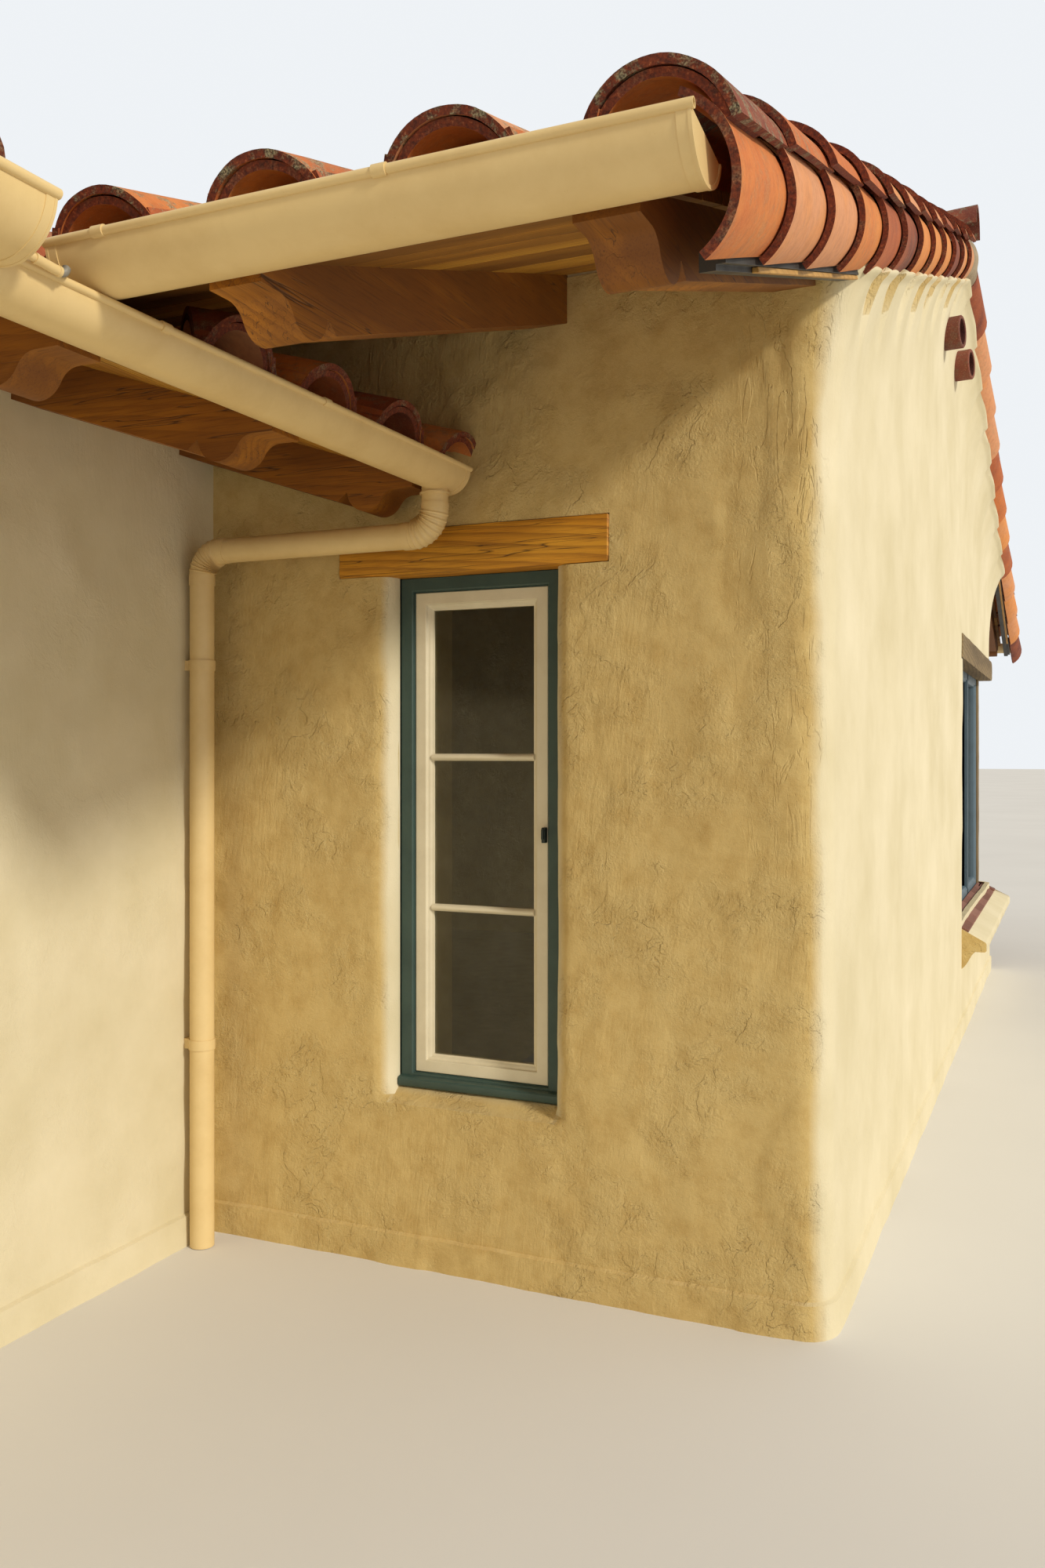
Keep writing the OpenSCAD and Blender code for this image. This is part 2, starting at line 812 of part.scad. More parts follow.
module rake_half(x, eave, run, top) {
    difference() {
        translate([x, 0, 0]) rake_run(eave, run, top);
        on_slope(top + deck_t) translate([x, 0, 0]) {
            block([-far, -far, -far], [-rake_out + snug, far, 0]);
            translate([0, 0, -rake_drop]) rotate([0, rake_under, 0]) block([-far, -far, -far], [0, far, 0]);
        }
    }
}
module rake_tiles() {
    color("chocolate") both_sides() {
        rake_half(range_end, range_eave, ridge_y, range_top);
        rear() rake_half(range_end, range_eave, ridge_y, range_top);
    }
}
module wing_rake_tiles() {
    color("chocolate") both_sides() wing_side() mirror([1, 0, 0])
        rake_half(-own_end, wing_eave, wing_x, own_top);
}

// Ridges: mortar over the boards carries lapped cap tiles
module mortar_run(x0, x1, top, run) {
    peak = top + deck_t + slope * run;
    rim = peak + cap_z;
    low = peak - slope * ridge_half;
    along_x(x0, x1) polygon([
        [run - ridge_half, low], [run, peak], [run + ridge_half, low],
        [run + ridge_half, rim], [run - ridge_half, rim]
    ]);
}
module ridge_mortar() {
    color("tan") {
        mortar_run(-gable_x, gable_x, range_top, ridge_y);
        difference() {
            wing_side() mortar_run(link_y + snug, valley_sum, link_top, wing_x);
            kept_from_link();
        }
        wing_side() mortar_run(wing_y, link_y, own_top, wing_x);
    }
}
module half_barrels(len) {
    intersection() {
        barrel_run(len, cap_r);
        block([-far, -1, 0], [far, len + 1, far]);
    }
}
module ridge_tiles() {
    range_rim = range_top + deck_t + slope * ridge_y + cap_z;
    link_rim = link_top + deck_t + slope * wing_x + cap_z;
    color("coral") {
        both_sides() translate([gable_x + cap_over, ridge_y, range_rim]) rotate([0, 0, 90])
            half_barrels(gable_x + cap_over - cap_meet);
        difference() {
            translate([0, link_y + snug, link_rim]) half_barrels(valley_sum - link_y);
            kept_from_link();
        }
        translate([0, wing_y - cap_over, link_rim + wing_step]) half_barrels(wing_len - link_len + cap_over);
    }
}

module gable_vents() {
    color("sienna") both_sides() vent_places() difference() {
        translate([0, 0, -wall_t]) cylinder(r = vent_r, h = wall_t + vent_out);
        translate([0, 0, -wall_t - 1]) cylinder(r = vent_r - vent_t, h = wall_t + vent_out + 2);
    }
}

// Half-round gutters. Local x runs along the eave
module gutter_profile(r, solid) {
    difference() {
        circle(r = r);
        if (!solid) circle(r = r - sheet_t);
        translate([-far, 0]) square([2 * far, far]);
        translate([0, -back_trim]) square([far, far]);
    }
}
function gutter_y(eave, r) = -eave - r - snug;
function gutter_z(top, eave, lift) = top + deck_t - slope * eave - bead_r + lift;
module gutter(x0, x1, r, top, eave, lift, hangers) {
    translate([0, gutter_y(eave, r), gutter_z(top, eave, lift)]) {
        along_x(x0, x1) {
            gutter_profile(r, false);
            translate([-r, 0]) circle(r = bead_r);
        }
        for (x = [x0, x1 - sheet_t]) along_x(x, x + sheet_t) gutter_profile(r, true);
        for (x = hangers) block([x - hanger_w / 2, -r, -sheet_t], [x + hanger_w / 2, r, 0]);
    }
}

// The front gutters start over the middle of the link's gutter
front_gutter_x0 = wing_x - gutter_y(link_eave, link_gutter_r) - sheet_t;
front_gutter_x1 = range_end + gutter_past;
module front_gutters() {
    color("wheat") both_sides() gutter(
        front_gutter_x0, front_gutter_x1, gutter_r, range_top, range_eave, gutter_lift,
        [for (x = [front_gutter_x0 + hanger_first:hanger_step:front_gutter_x1 - hanger_w]) x]
    );
}
module front_gutter_space() {
    y = gutter_y(range_eave, gutter_r);
    z = gutter_z(range_top, range_eave, gutter_lift);
    both_sides() block(
        [front_gutter_x0 - valley_gap, y - gutter_r - bead_r - valley_gap, z - gutter_r - valley_gap],
        [front_gutter_x1, y + gutter_r + valley_gap, z + gutter_r]
    );
}
module rear_gutter() {
    color("wheat") rear() gutter(
        -front_gutter_x1, front_gutter_x1, gutter_r, range_top, range_eave, gutter_lift,
        [for (x = [hanger_first - front_gutter_x1:hanger_step:front_gutter_x1 - hanger_w]) x]
    );
}
link_gutter_y0 = link_y - gutter_end;
wing_gutter_y0 = own_end - gutter_past;
wing_gutter_y1 = link_gutter_y0 - gutter_joint;
module link_gutters() {
    color("wheat") both_sides() wing_side() gutter(
        link_gutter_y0, -link_gutter_stop, link_gutter_r, link_top, link_eave, link_gutter_lift,
        [for (x = [-link_gutter_stop - link_hanger_first:-hanger_step:link_gutter_y0 + hanger_w]) x]
    );
}
module wing_gutters() {
    color("wheat") both_sides() wing_side() gutter(
        wing_gutter_y0, wing_gutter_y1, wing_gutter_r, own_top, wing_eave, wing_gutter_lift,
        [for (x = [wing_gutter_y0 + hanger_first:hanger_step:wing_gutter_y1 - hanger_w]) x]
    );
}

// Downspouts with crimped elbows: from the link's gutter, along the front wall
// and down in the inside corner
module pipe_ring(r, t) {
    difference() {
        circle(r = r);
        circle(r = r - t);
    }
}
module elbow() {
    difference() {
        union() {
            rotate_extrude(angle = 90) translate([elbow_r, 0]) circle(r = pipe_r);
            for (i = [1:crimps]) rotate([0, 0, 90 * i / (crimps + 1)]) translate([elbow_r, 0, 0])
                rotate([90, 0, 0]) cylinder(r = pipe_r + crimp_h, h = crimp_w, center = true);
        }
        rotate([0, 0, -1]) rotate_extrude(angle = 92) translate([elbow_r, 0]) circle(r = pipe_r - sheet_t);
    }
}
module straight(len) translate([0, 0, snug]) linear_extrude(len - 2 * snug) pipe_ring(pipe_r, sheet_t);
module downspout() {
    gutter_x = wing_x - gutter_y(link_eave, link_gutter_r) - outlet_in;
    outlet_z = gutter_z(link_top, link_eave, link_gutter_lift) - link_gutter_r;
    run_z = outlet_z - outlet_drop;
    down_x = wing_x + spout_x;
    translate([0, -spout_y, 0]) {
        translate([gutter_x, 0, run_z + elbow_r]) straight(outlet_z - run_z - elbow_r);
        translate([gutter_x - elbow_r, 0, run_z + elbow_r]) rotate([90, 0, 0]) mirror([0, 1, 0]) elbow();
        translate([down_x + elbow_r, 0, run_z]) rotate([0, 90, 0]) straight(gutter_x - down_x - 2 * elbow_r);
        translate([down_x + elbow_r, 0, run_z - elbow_r]) rotate([90, 0, 0]) mirror([1, 0, 0]) elbow();
        translate([down_x, 0, 0]) straight(run_z - elbow_r);
        for (z = strap_heights) translate([down_x, 0, z]) strap();
    }
}
module strap() {
    linear_extrude(strap_w) difference() {
        union() {
            circle(r = pipe_r + sheet_t);
            translate([-spout_x + snug, -pipe_r / 2]) square([spout_x, pipe_r]);
        }
        circle(r = pipe_r - sheet_t / 2);
    }
}
module downspouts() color("wheat") both_sides() downspout();

// The thin pipe from the wing's gutter to the main range's gutter
module link_pipes() {
    x = wing_x - gutter_y(wing_eave, wing_gutter_r);
    z = gutter_z(own_top, wing_eave, wing_gutter_lift) - wing_gutter_r + thin_pipe_up;
    below = gutter_z(range_top, range_eave, gutter_lift) - z;
    y1 = gutter_y(range_eave, gutter_r) - sqrt(gutter_r ^ 2 - (below - thin_pipe_r) ^ 2) - snug;
    color("silver") both_sides() translate([x, wing_gutter_y1, z]) rotate([-90, 0, 0]) {
        cylinder(r = thin_pipe_r, h = y1 - wing_gutter_y1);
        translate([0, 0, sleeve_at]) cylinder(r = thin_pipe_r + sleeve_t, h = sleeve_len);
    }
}

floor_slab();
front_wall_right();
front_wall_left();
gable_wall_right();
gable_wall_left();
rear_wall();
wing_wall_right();
wing_wall_left();
wing_front_wall();
lintels();
window_frames();
window_sashes();
window_glass();
corner_lintels();
corner_posts();
corner_frames();
corner_glass();
corner_sills();
sill_tiles();
entry_frame();
entry_door();
header_beam();
ridge_beams();
front_rafters();
rear_rafters();
link_rafters();
wing_rafters();
front_boards();
rear_boards();
wing_boards();
front_tiles();
rear_tiles();
link_tiles();
wing_tiles();
rake_tiles();
wing_rake_tiles();
ridge_mortar();
ridge_tiles();
gable_vents();
front_gutters();
rear_gutter();
link_gutters();
wing_gutters();
downspouts();
link_pipes();
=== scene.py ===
# The looks of an adobe house with a clay tile roof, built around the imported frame. Lengths are in metres, X
# runs along the main range, Y from front to back and Z up.
import math
import random

import bmesh
import bpy
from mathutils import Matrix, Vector, noise


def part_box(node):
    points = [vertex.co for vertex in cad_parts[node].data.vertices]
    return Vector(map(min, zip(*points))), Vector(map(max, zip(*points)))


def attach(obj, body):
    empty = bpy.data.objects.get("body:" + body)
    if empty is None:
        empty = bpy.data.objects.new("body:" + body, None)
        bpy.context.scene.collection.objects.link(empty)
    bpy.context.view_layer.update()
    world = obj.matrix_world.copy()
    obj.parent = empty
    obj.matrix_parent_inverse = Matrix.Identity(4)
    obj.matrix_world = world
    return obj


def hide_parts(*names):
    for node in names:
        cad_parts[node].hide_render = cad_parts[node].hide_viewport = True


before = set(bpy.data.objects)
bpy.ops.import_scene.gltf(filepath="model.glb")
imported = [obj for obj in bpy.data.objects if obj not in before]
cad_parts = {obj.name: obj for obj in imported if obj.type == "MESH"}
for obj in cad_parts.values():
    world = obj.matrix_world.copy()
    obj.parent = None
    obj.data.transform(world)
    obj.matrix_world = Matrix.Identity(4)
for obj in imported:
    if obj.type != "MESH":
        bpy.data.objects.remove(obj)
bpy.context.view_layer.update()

BODY = "root"

# Plan, from the frame
GABLE_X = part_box("gable_wall_right")[1].x
REAR_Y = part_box("rear_wall")[1].y
WING_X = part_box("wing_wall_right")[1].x
WING_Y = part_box("wing_front_wall")[0].y
RIDGE_Y = REAR_Y / 2
LINK_Y = -1.72
CORNER_R = 0.08

# Roof: heights of the boards' underside over a wall's face, overhangs and the boards
SLOPE = 1 / 3
PITCH = math.atan(SLOPE)
COS = math.cos(PITCH)
SIN = math.sin(PITCH)
DECK = 0.025
RANGE_TOP = 2.822
LINK_TOP = 2.540
OWN_TOP = 2.650
RANGE_EAVE = 1.420
LINK_EAVE = 0.807
WING_EAVE = 0.866
VALLEY_SUM = 1.254

# Clay tiles
TILE_R = 0.125
TILE_T = 0.014
COVER_LIFT = 0.012
TAPER = 0.018
EXPOSURE = 0.381
TILE_LEN = 0.457
TILE_OVER = 0.080
PAN_R = 0.100
RAKE_OUT = 0.040
RAKE_R = 0.131
RAKE_AXIS = 0.022
RAKE_DROP = 0.029
RAKE_UNDER = math.radians(59)
RAKE_OVER = math.radians(66)
CAP_R = 0.117
CAP_OVER = 0.145
CAP_Z = 0.092
RANGE_END = GABLE_X + RAKE_OUT

# Clearance between pieces that seat on each other
SEAT = 0.0003

# Windows and the entrance
WINDOW_W = 0.518
SILL_Z = 0.505
HEAD_Z = 2.020
LINTEL_H = 0.133
LINTEL_REACH = 0.171
REVEAL = 0.070
REVEAL_R = 0.060
SILL_DROP = 0.035
FRONT_WINDOW_X = WING_X + 0.901
REAR_WINDOW_X = 1.0
WING_WINDOW_Y = (WING_Y + LINK_Y) / 2
DOOR_HALF = 0.524
DOOR_FOOT = 0.100
DOOR_HEAD = 2.204

# The window round each rear corner, its sloping shelf and its lintel's reach past it
CORNER_SILL = 0.600
CORNER_HEAD = 2.000
CORNER_SIDE = 2.250
CORNER_BACK = 1.200
CORNER_REACH = 0.085
SHELF_OUT = 0.130
SHELF_FALL = 0.110
SHELF_T = 0.050

# Gutters and pipes
GUTTER_R = 0.078
LINK_GUTTER_R = 0.067
WING_GUTTER_R = 0.096
BEAD_R = 0.008
GUTTER_LIFT = 0.014
LINK_GUTTER_LIFT = 0.005
WING_GUTTER_LIFT = -0.015
HANGER_FIRST = 0.117
HANGER_STEP = 0.547
LINK_HANGER_FIRST = 0.730
PIPE_R = 0.038
OUTLET_IN = 0.014
OUTLET_DROP = 0.118

# A face's tint: a random share, whether it is a cut end (inside the vent pipes it marks painted shade), and
# how weathered it is
PLAIN = (0.5, 0.0, 0.0)


class Form:
    """Vertices, faces and a tint for each face, gathered into one mesh."""

    def __init__(self):
        self.verts = []
        self.faces = []
        self.tints = []

    def add(self, verts, faces, tint=PLAIN):
        base = len(self.verts)
        self.verts.extend(verts)
        self.link(base, faces, tint)

    def link(self, base, faces, tint):
        self.faces.extend([base + i for i in face] for face in faces)
        self.tints.extend([tint] * len(faces))

    def merge(self, other):
        base = len(self.verts)
        self.verts.extend(other.verts)
        self.faces.extend([base + i for i in face] for face in other.faces)
        self.tints.extend(other.tints)

    def grid(self, rows, around=False, tint=PLAIN):
        """Quads between rows of as many points each; around closes every row."""
        width = len(rows[0])
        faces = []
        for j in range(len(rows) - 1):
            for i in range(width if around else width - 1):
                a, b = j * width + i, j * width + (i + 1) % width
                faces.append((a, b, b + width, a + width))
        self.add([p for row in rows for p in row], faces, tint)

    def tube(self, rows, tint=PLAIN):
        """A closed solid through rows of points, each row a closed outline."""
        self.grid(rows, True, tint)
        width = len(rows[0])
        last = len(self.verts) - width
        self.link(last, [range(width)], tint)
        self.link(last - width * (len(rows) - 1), [range(width)], tint)

    def shell(self, outer, inner, tint):
        """A thick sheet between two grids of as many rows; its rim is tinted as a cut end."""
        width, last = len(outer[0]), len(outer) - 1
        half = width * len(outer)
        sides = []
        for j in range(last):
            for k in range(j * width, j * width + width - 1):
                sides.append((k, k + 1, k + 1 + width, k + width))
                sides.append((half + k, half + k + width, half + k + 1 + width, half + k + 1))
        edges = [(j * width + i, j * width + i + width) for j in range(last) for i in (0, width - 1)]
        edges += [(j * width + i, j * width + i + 1) for j in (0, last) for i in range(width - 1)]
        base = len(self.verts)
        self.add([p for row in outer + inner for p in row], sides, tint)
        self.link(base, [(a, b, half + b, half + a) for a, b in edges], (tint[0], 1.0, tint[2]))

    def block(self, low, high, put):
        """A box between two corners; put takes its three coordinates."""
        (x0, y0, z0), (x1, y1, z1) = low, high
        outline = [(x0, y0), (x1, y0), (x1, y1), (x0, y1)]
        self.tube([[put(x, y, z) for x, y in outline] for z in (z0, z1)])

    def prism(self, outline, put, a0, a1, tint=PLAIN, cuts=1):
        """An outline of (u, v) drawn out from a0 to a1; put takes (a, u, v)."""
        steps = [a0 + (a1 - a0) * i / cuts for i in range(cuts + 1)]
        self.tube([[put(a, u, v) for u, v in outline] for a in steps], tint)


def fan(a0, a1, cuts):
    """Unit (across, up) pairs at the turns from a0 to a1."""
    turns = [a0 + (a1 - a0) * i / cuts for i in range(cuts + 1)]
    return [(math.cos(a), math.sin(a)) for a in turns]


def circle(cuts):
    return fan(0, math.tau, cuts)[:-1]


def ripple(x, y, z):
    return noise.noise(Vector((x, y, z)))


def show(name, data):
    """An object with its data, put in the scene."""
    thing = bpy.data.objects.new(name, data)
    bpy.context.scene.collection.objects.link(thing)
    return thing


def cut(form, point, normal, end_tint):
    """The part of a form behind a plane, with its cut closed."""
    bm = bmesh.new()
    index = bm.faces.layers.int.new("tint")
    verts = [bm.verts.new(p) for p in form.verts]
    for i, face in enumerate(form.faces):
        bm.faces.new([verts[v] for v in face])[index] = i + 1
    parts = bm.verts[:] + bm.edges[:] + bm.faces[:]
    sliced = bmesh.ops.bisect_plane(bm, geom=parts, plane_co=point, plane_no=normal, clear_outer=True)
    edges = [e for e in sliced["geom_cut"] if isinstance(e, bmesh.types.BMEdge)]
    bmesh.ops.edgenet_fill(bm, edges=edges)
    bm.verts.index_update()
    kept = Form()
    kept.verts = [v.co.copy() for v in bm.verts]
    for face in bm.faces:
        kept.faces.append([v.index for v in face.verts])
        kept.tints.append(form.tints[face[index] - 1] if face[index] else end_tint)
    bm.free()
    return kept


def make(name, form, material, nodes=(), sharp=35, bevel=0.0, solid=True):
    """A piece of the house from a form: it rides on the house and stands for the named nodes."""
    mesh = bpy.data.meshes.new(name)
    mesh.from_pydata(form.verts, [], form.faces)
    if solid:
        bm = bmesh.new()
        bm.from_mesh(mesh)
        bmesh.ops.recalc_face_normals(bm, faces=bm.faces)
        bm.to_mesh(mesh)
        bm.free()
    layer = mesh.attributes.new("tint", "FLOAT_COLOR", "FACE")
    layer.data.foreach_set("color", [c for tint in form.tints for c in (*tint, 1.0)])
    mesh.shade_smooth()
    mesh.set_sharp_from_angle(angle=math.radians(sharp))
    mesh.materials.append(material)
    piece = show(name, mesh)
    if bevel:
        soften(piece, bevel)
    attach(piece, BODY)
    if nodes:
        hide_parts(*nodes)


def soften(piece, width):
    """Rounds the sharp edges of a piece."""
    bevel = piece.modifiers.new("Edges", "BEVEL")
    bevel.width = width
    bevel.segments = 2
    bevel.limit_method = "ANGLE"
    bevel.angle_limit = math.radians(40)
    bevel.harden_normals = True


def dress(material, *names, bevel=0.0):
    """Gives CAD nodes their material and, where asked, rounded edges."""
    for name in names:
        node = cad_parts[name]
        node.data.materials.clear()
        node.data.materials.append(material)
        if bevel:
            soften(node, bevel)


def fill(values, step):
    """The sorted values with others between them, no more than a step apart."""
    values = sorted(set(round(v, 5) for v in values))
    full = [values[0]]
    for a, b in zip(values, values[1:]):
        n = max(1, math.ceil((b - a) / step - 0.01))
        full.extend(a + (b - a) * i / n for i in range(1, n + 1))
    return full


# Materials
def paint(code):
    """A colour written as sRGB hex digits, in linear light."""
    parts = [int(code[i:i + 2], 16) / 255 for i in (0, 2, 4)]
    return [c / 12.92 if c < 0.04045 else ((c + 0.055) / 1.055) ** 2.4 for c in parts] + [1.0]


class Finish:
    """A material with a Principled shader, and short calls for its other nodes."""

    def __init__(self, name, rough, **sockets):
        self.material = bpy.data.materials.new(name)
        self.material.use_nodes = True
        self.tree = self.material.node_tree
        self.shader = self.tree.nodes["Principled BSDF"]
        self.shader.inputs["Roughness"].default_value = rough
        for key, value in sockets.items():
            self.shader.inputs[key.replace("_", " ")].default_value = value
        self.where = self.add("TexCoord").outputs["Object"]

    def add(self, kind, inputs=(), **settings):
        node = self.tree.nodes.new("ShaderNode" + kind)
        for key, value in settings.items():
            setattr(node, key, value)
        for key, value in dict(inputs).items():
            self.put(node.inputs[key], value)
        return node

    def put(self, socket, value):
        if isinstance(value, bpy.types.NodeSocket):
            self.tree.links.new(value, socket)
        else:
            socket.default_value = value

    def stretch(self, x, y, z, turn=(0, 0, 0)):
        inputs = {"Vector": self.where, "Scale": (1 / x, 1 / y, 1 / z), "Rotation": turn}
        return self.add("Mapping", inputs, vector_type="TEXTURE").outputs[0]

    def noise(self, scale, detail=4.0, rough=0.55, vector=None, distortion=0.0):
        inputs = {"Vector": vector or self.where, "Scale": scale, "Detail": detail, "Roughness": rough,
                  "Distortion": distortion}
        return self.add("TexNoise", inputs).outputs["Fac"]

    def math(self, operation, a, b=0.0, clamp=False):
        return self.add("Math", {0: a, 1: b}, operation=operation, use_clamp=clamp).outputs[0]

    def times(self, a, b, clamp=False):
        return self.math("MULTIPLY", a, b, clamp)

    def minus(self, a, b, clamp=False):
        return self.math("SUBTRACT", a, b, clamp)

    def axes(self, vector):
        return self.add("SeparateXYZ", {0: vector}).outputs

    def ramp(self, value, *stops):
        node = self.add("ValToRGB", {"Fac": value})
        band = node.color_ramp
        while len(band.elements) < len(stops):
            band.elements.new(0.5)
        for element, (place, colour) in zip(band.elements, stops):
            element.position = place
            element.color = paint(colour) if isinstance(colour, str) else (colour, colour, colour, 1.0)
        return node.outputs["Color"]

    def mix(self, share, a, b, blend="MIX"):
        return self.add("Mix", {0: share, 6: a, 7: b}, data_type="RGBA", blend_type=blend).outputs[2]

    def tint(self):
        """The random share, the cut end (painted shade inside the vent pipes) and the weathering of a face.
        """
        return self.add("SeparateColor", {0: self.add("Attribute", attribute_name="tint").outputs[0]}).outputs

    def bump(self, height, strength, distance, normal=None):
        inputs = {"Height": height, "Strength": strength, "Distance": distance}
        if normal:
            inputs["Normal"] = normal
        return self.add("Bump", inputs).outputs[0]

    def done(self, colour, normal, rough=None):
        self.put(self.shader.inputs["Base Color"], colour)
        self.put(self.shader.inputs["Normal"], normal)
        if rough:
            self.put(self.shader.inputs["Roughness"], rough)
        return self.material


def stucco_finish(name, light, mid, dark, relief=1.0, painted_light_side_tones=None):
    """Hand-trowelled render: broad mottling, upright strokes of the trowel, patches of grit, short ledges and
    a few scratches. Faces that look along X have a gentler relief and a paler coat when two side tones are
    given; that paler coat is painted light."""
    f = Finish(name, 0.92)
    broad = f.noise(1.7, 5.0, 0.6)
    small = f.noise(11.0, 6.0, 0.7)
    shade = f.ramp(small, (0.28, dark), (0.55, mid))
    colour = f.mix(broad, shade, f.ramp(small, (0.32, mid), (0.72, light)))
    sand = f.noise(330.0, 3.0, 0.75)
    colour = f.mix(f.ramp(sand, (0.35, 0.0), (0.75, 0.30)), colour, paint(light))
    rough = 1.0
    if painted_light_side_tones:
        facing = f.axes(f.add("NewGeometry").outputs["Normal"])
        sideways = f.minus(f.math("ABSOLUTE", facing[0]), f.math("ABSOLUTE", facing[1]))
        rough = f.ramp(sideways, (0.0, 1.0), (0.35, 0.28))
        # Painted light: faces that look along X take the paler side tones, standing for the paler light on
        # them
        pale = f.ramp(f.math("ADD", sideways, 0.5), (0.0, 0.0), (0.65, 1.0))
        colour = f.mix(pale, colour, f.ramp(f.noise(2.4, 5.0, 0.6), (0.3, painted_light_side_tones[1]), (0.7, painted_light_side_tones[0])))
    where = f.noise(3.4, 4.0, 0.65)
    strokes = f.noise(1.0, 4.0, 0.7, f.stretch(52.0, 52.0, 6.5, (0.10, 0.10, 0.0)), 0.5)
    drag = f.noise(2.3, 3.0, 0.6, f.stretch(1.0, 1.0, 0.8, (0.4, 0.9, 0.2)))
    grit = f.noise(125.0, 4.0, 0.7)
    pats = f.noise(15.0, 4.0, 0.55, f.stretch(1.0, 1.0, 0.7, (0.5, 0.35, 0.3)), 0.6)
    ledges = f.times(f.ramp(pats, (0.47, 0.0), (0.50, 1.0)), f.ramp(where, (0.50, 0.0), (0.62, 1.0)))
    streak = f.noise(1.0, 2.0, 0.5, f.stretch(95.0, 95.0, 7.0, (0.75, 0.75, 0.0)))
    scratch = f.times(f.ramp(streak, (0.66, 0.0), (0.70, 1.0)), f.ramp(where, (0.50, 0.0), (0.56, 1.0)))
    if painted_light_side_tones:
        place = f.axes(f.where)
        near = f.times(f.minus(f.math("ABSOLUTE", place[0]), GABLE_X - 0.27), 7.0, True)
        near = f.times(near, f.minus(place[2], 0.9, True))
        cracks = f.noise(1.0, 4.0, 0.6, f.stretch(17.0, 17.0, 4.0), 0.8)
        ledges = f.math("MAXIMUM", ledges, f.times(f.ramp(cracks, (0.47, 0.0), (0.50, 1.0)), near))
    normal = None
    for height, strength, distance in (
        (sand, 0.35 * relief, 0.0022),
        (grit, f.ramp(where, (0.44, 0.25 * relief), (0.56, relief)), 0.0046),
        (strokes, f.ramp(drag, (0.44, 0.0), (0.58, 0.8 * relief)), 0.0046),
        (pats, 0.30 * relief, 0.010),
        (ledges, 0.75 * relief, 0.0034),
        (scratch, 0.6 * relief, 0.0026),
    ):
        normal = f.bump(height, f.times(strength, rough), distance, normal)
    return f.done(colour, normal)


def clay_finish(name, tones, ends, weather):
    """Fired clay: a tone for each tile, smoke marks, a dark rough cut end whose tones also paint the shade
    inside the vent pipes, and lichen where weathered.
    """
    f = Finish(name, 0.82)
    share, end, old = f.tint()[:3]
    cloud = f.noise(5.5, 5.0, 0.6)
    tone = f.ramp(f.math("ADD", share, f.times(f.minus(cloud, 0.5), 0.55)), *tones)
    tone = f.mix(f.ramp(f.noise(38.0, 5.0, 0.7), (0.45, 0.0), (0.75, 0.35)), tone, paint("8a4a2e"))
    tone = f.mix(f.ramp(f.noise(210.0, 3.0, 0.6), (0.55, 0.0), (0.80, 0.4)), tone, paint("e2a878"))
    raw = f.ramp(f.noise(150.0, 3.0, 0.7), (0.35, ends[0]), (0.60, ends[1]), (0.74, ends[2]))
    spots = f.ramp(f.noise(26.0, 6.0, 0.75), (0.50, 0.0), (0.60, 1.0))
    lichen = f.ramp(f.noise(300.0), (0.4, weather[0]), (0.6, weather[1]))
    colour = f.mix(f.times(spots, old, True), f.mix(end, tone, raw), lichen)
    normal = f.bump(f.noise(260.0, 4.0, 0.7), 0.35, 0.0012)
    return f.done(colour, f.bump(f.noise(24.0, 4.0, 0.6), 0.35, 0.004, normal))


def wood_finish(name, along, tones, rough=0.62, knots=True, grain=1.0):
    """Stained timber: growth lines that wander along the grain, pores, short checks and a few knots."""
    f = Finish(name, rough)

    def grained(cross, long):
        scale = [cross, cross, cross]
        scale["xyz".index(along)] = long
        return f.stretch(*scale)

    share = f.tint()[0]
    drift = f.noise(1.0, 3.0, 0.55, grained(5.0, 0.9))
    lines = f.add("TexWave", {
        "Vector": grained(1.0, 0.09), "Scale": 24.0, "Distortion": 9.0, "Detail": 2.0, "Detail Scale": 0.32,
        "Detail Roughness": 0.6,
    }, wave_type="BANDS", bands_direction="DIAGONAL", wave_profile="SAW").outputs["Fac"]
    pores = f.noise(1.0, 3.0, 0.65, grained(330.0, 9.0))
    tone = f.math("ADD", drift, f.times(f.minus(share, 0.5), 0.5))
    colour = f.ramp(tone, (0.25, tones[0]), (0.50, tones[1]), (0.80, tones[2]))
    colour = f.mix(f.ramp(lines, (0.40, 0.0), (0.95, 0.58)), colour, paint(tones[0]))
    colour = f.mix(f.ramp(pores, (0.50, 0.0), (0.72, 0.45)), colour, paint(tones[0]), "MULTIPLY")
    if knots:
        spots = {"Vector": grained(3.1, 1.7), "Scale": 1.0}
        near = f.add("TexVoronoi", spots).outputs["Distance"]
        colour = f.mix(f.ramp(near, (0.045, 0.85), (0.075, 0.0)), colour, paint("3c2110"))
        halo = f.math("SINE", f.times(near, 260.0))
        halo = f.times(halo, f.ramp(near, (0.075, 0.30), (0.15, 0.0)), True)
        colour = f.mix(halo, colour, paint(tones[0]))
    check = f.math("ABSOLUTE", f.minus(f.noise(1.0, 2.0, 0.5, grained(42.0, 1.3)), 0.5))
    check = f.times(f.ramp(check, (0.0, 1.0), (0.010, 0.0)), f.ramp(drift, (0.50, 0.0), (0.56, 1.0)))
    colour = f.mix(f.times(check, 0.8), colour, paint("2a170c"))
    normal = f.bump(pores, 0.30 * grain, 0.0012)
    normal = f.bump(lines, 0.16 * grain, 0.0010, normal)
    return f.done(colour, f.bump(f.minus(1.0, check), 0.5 * grain, 0.002, normal))


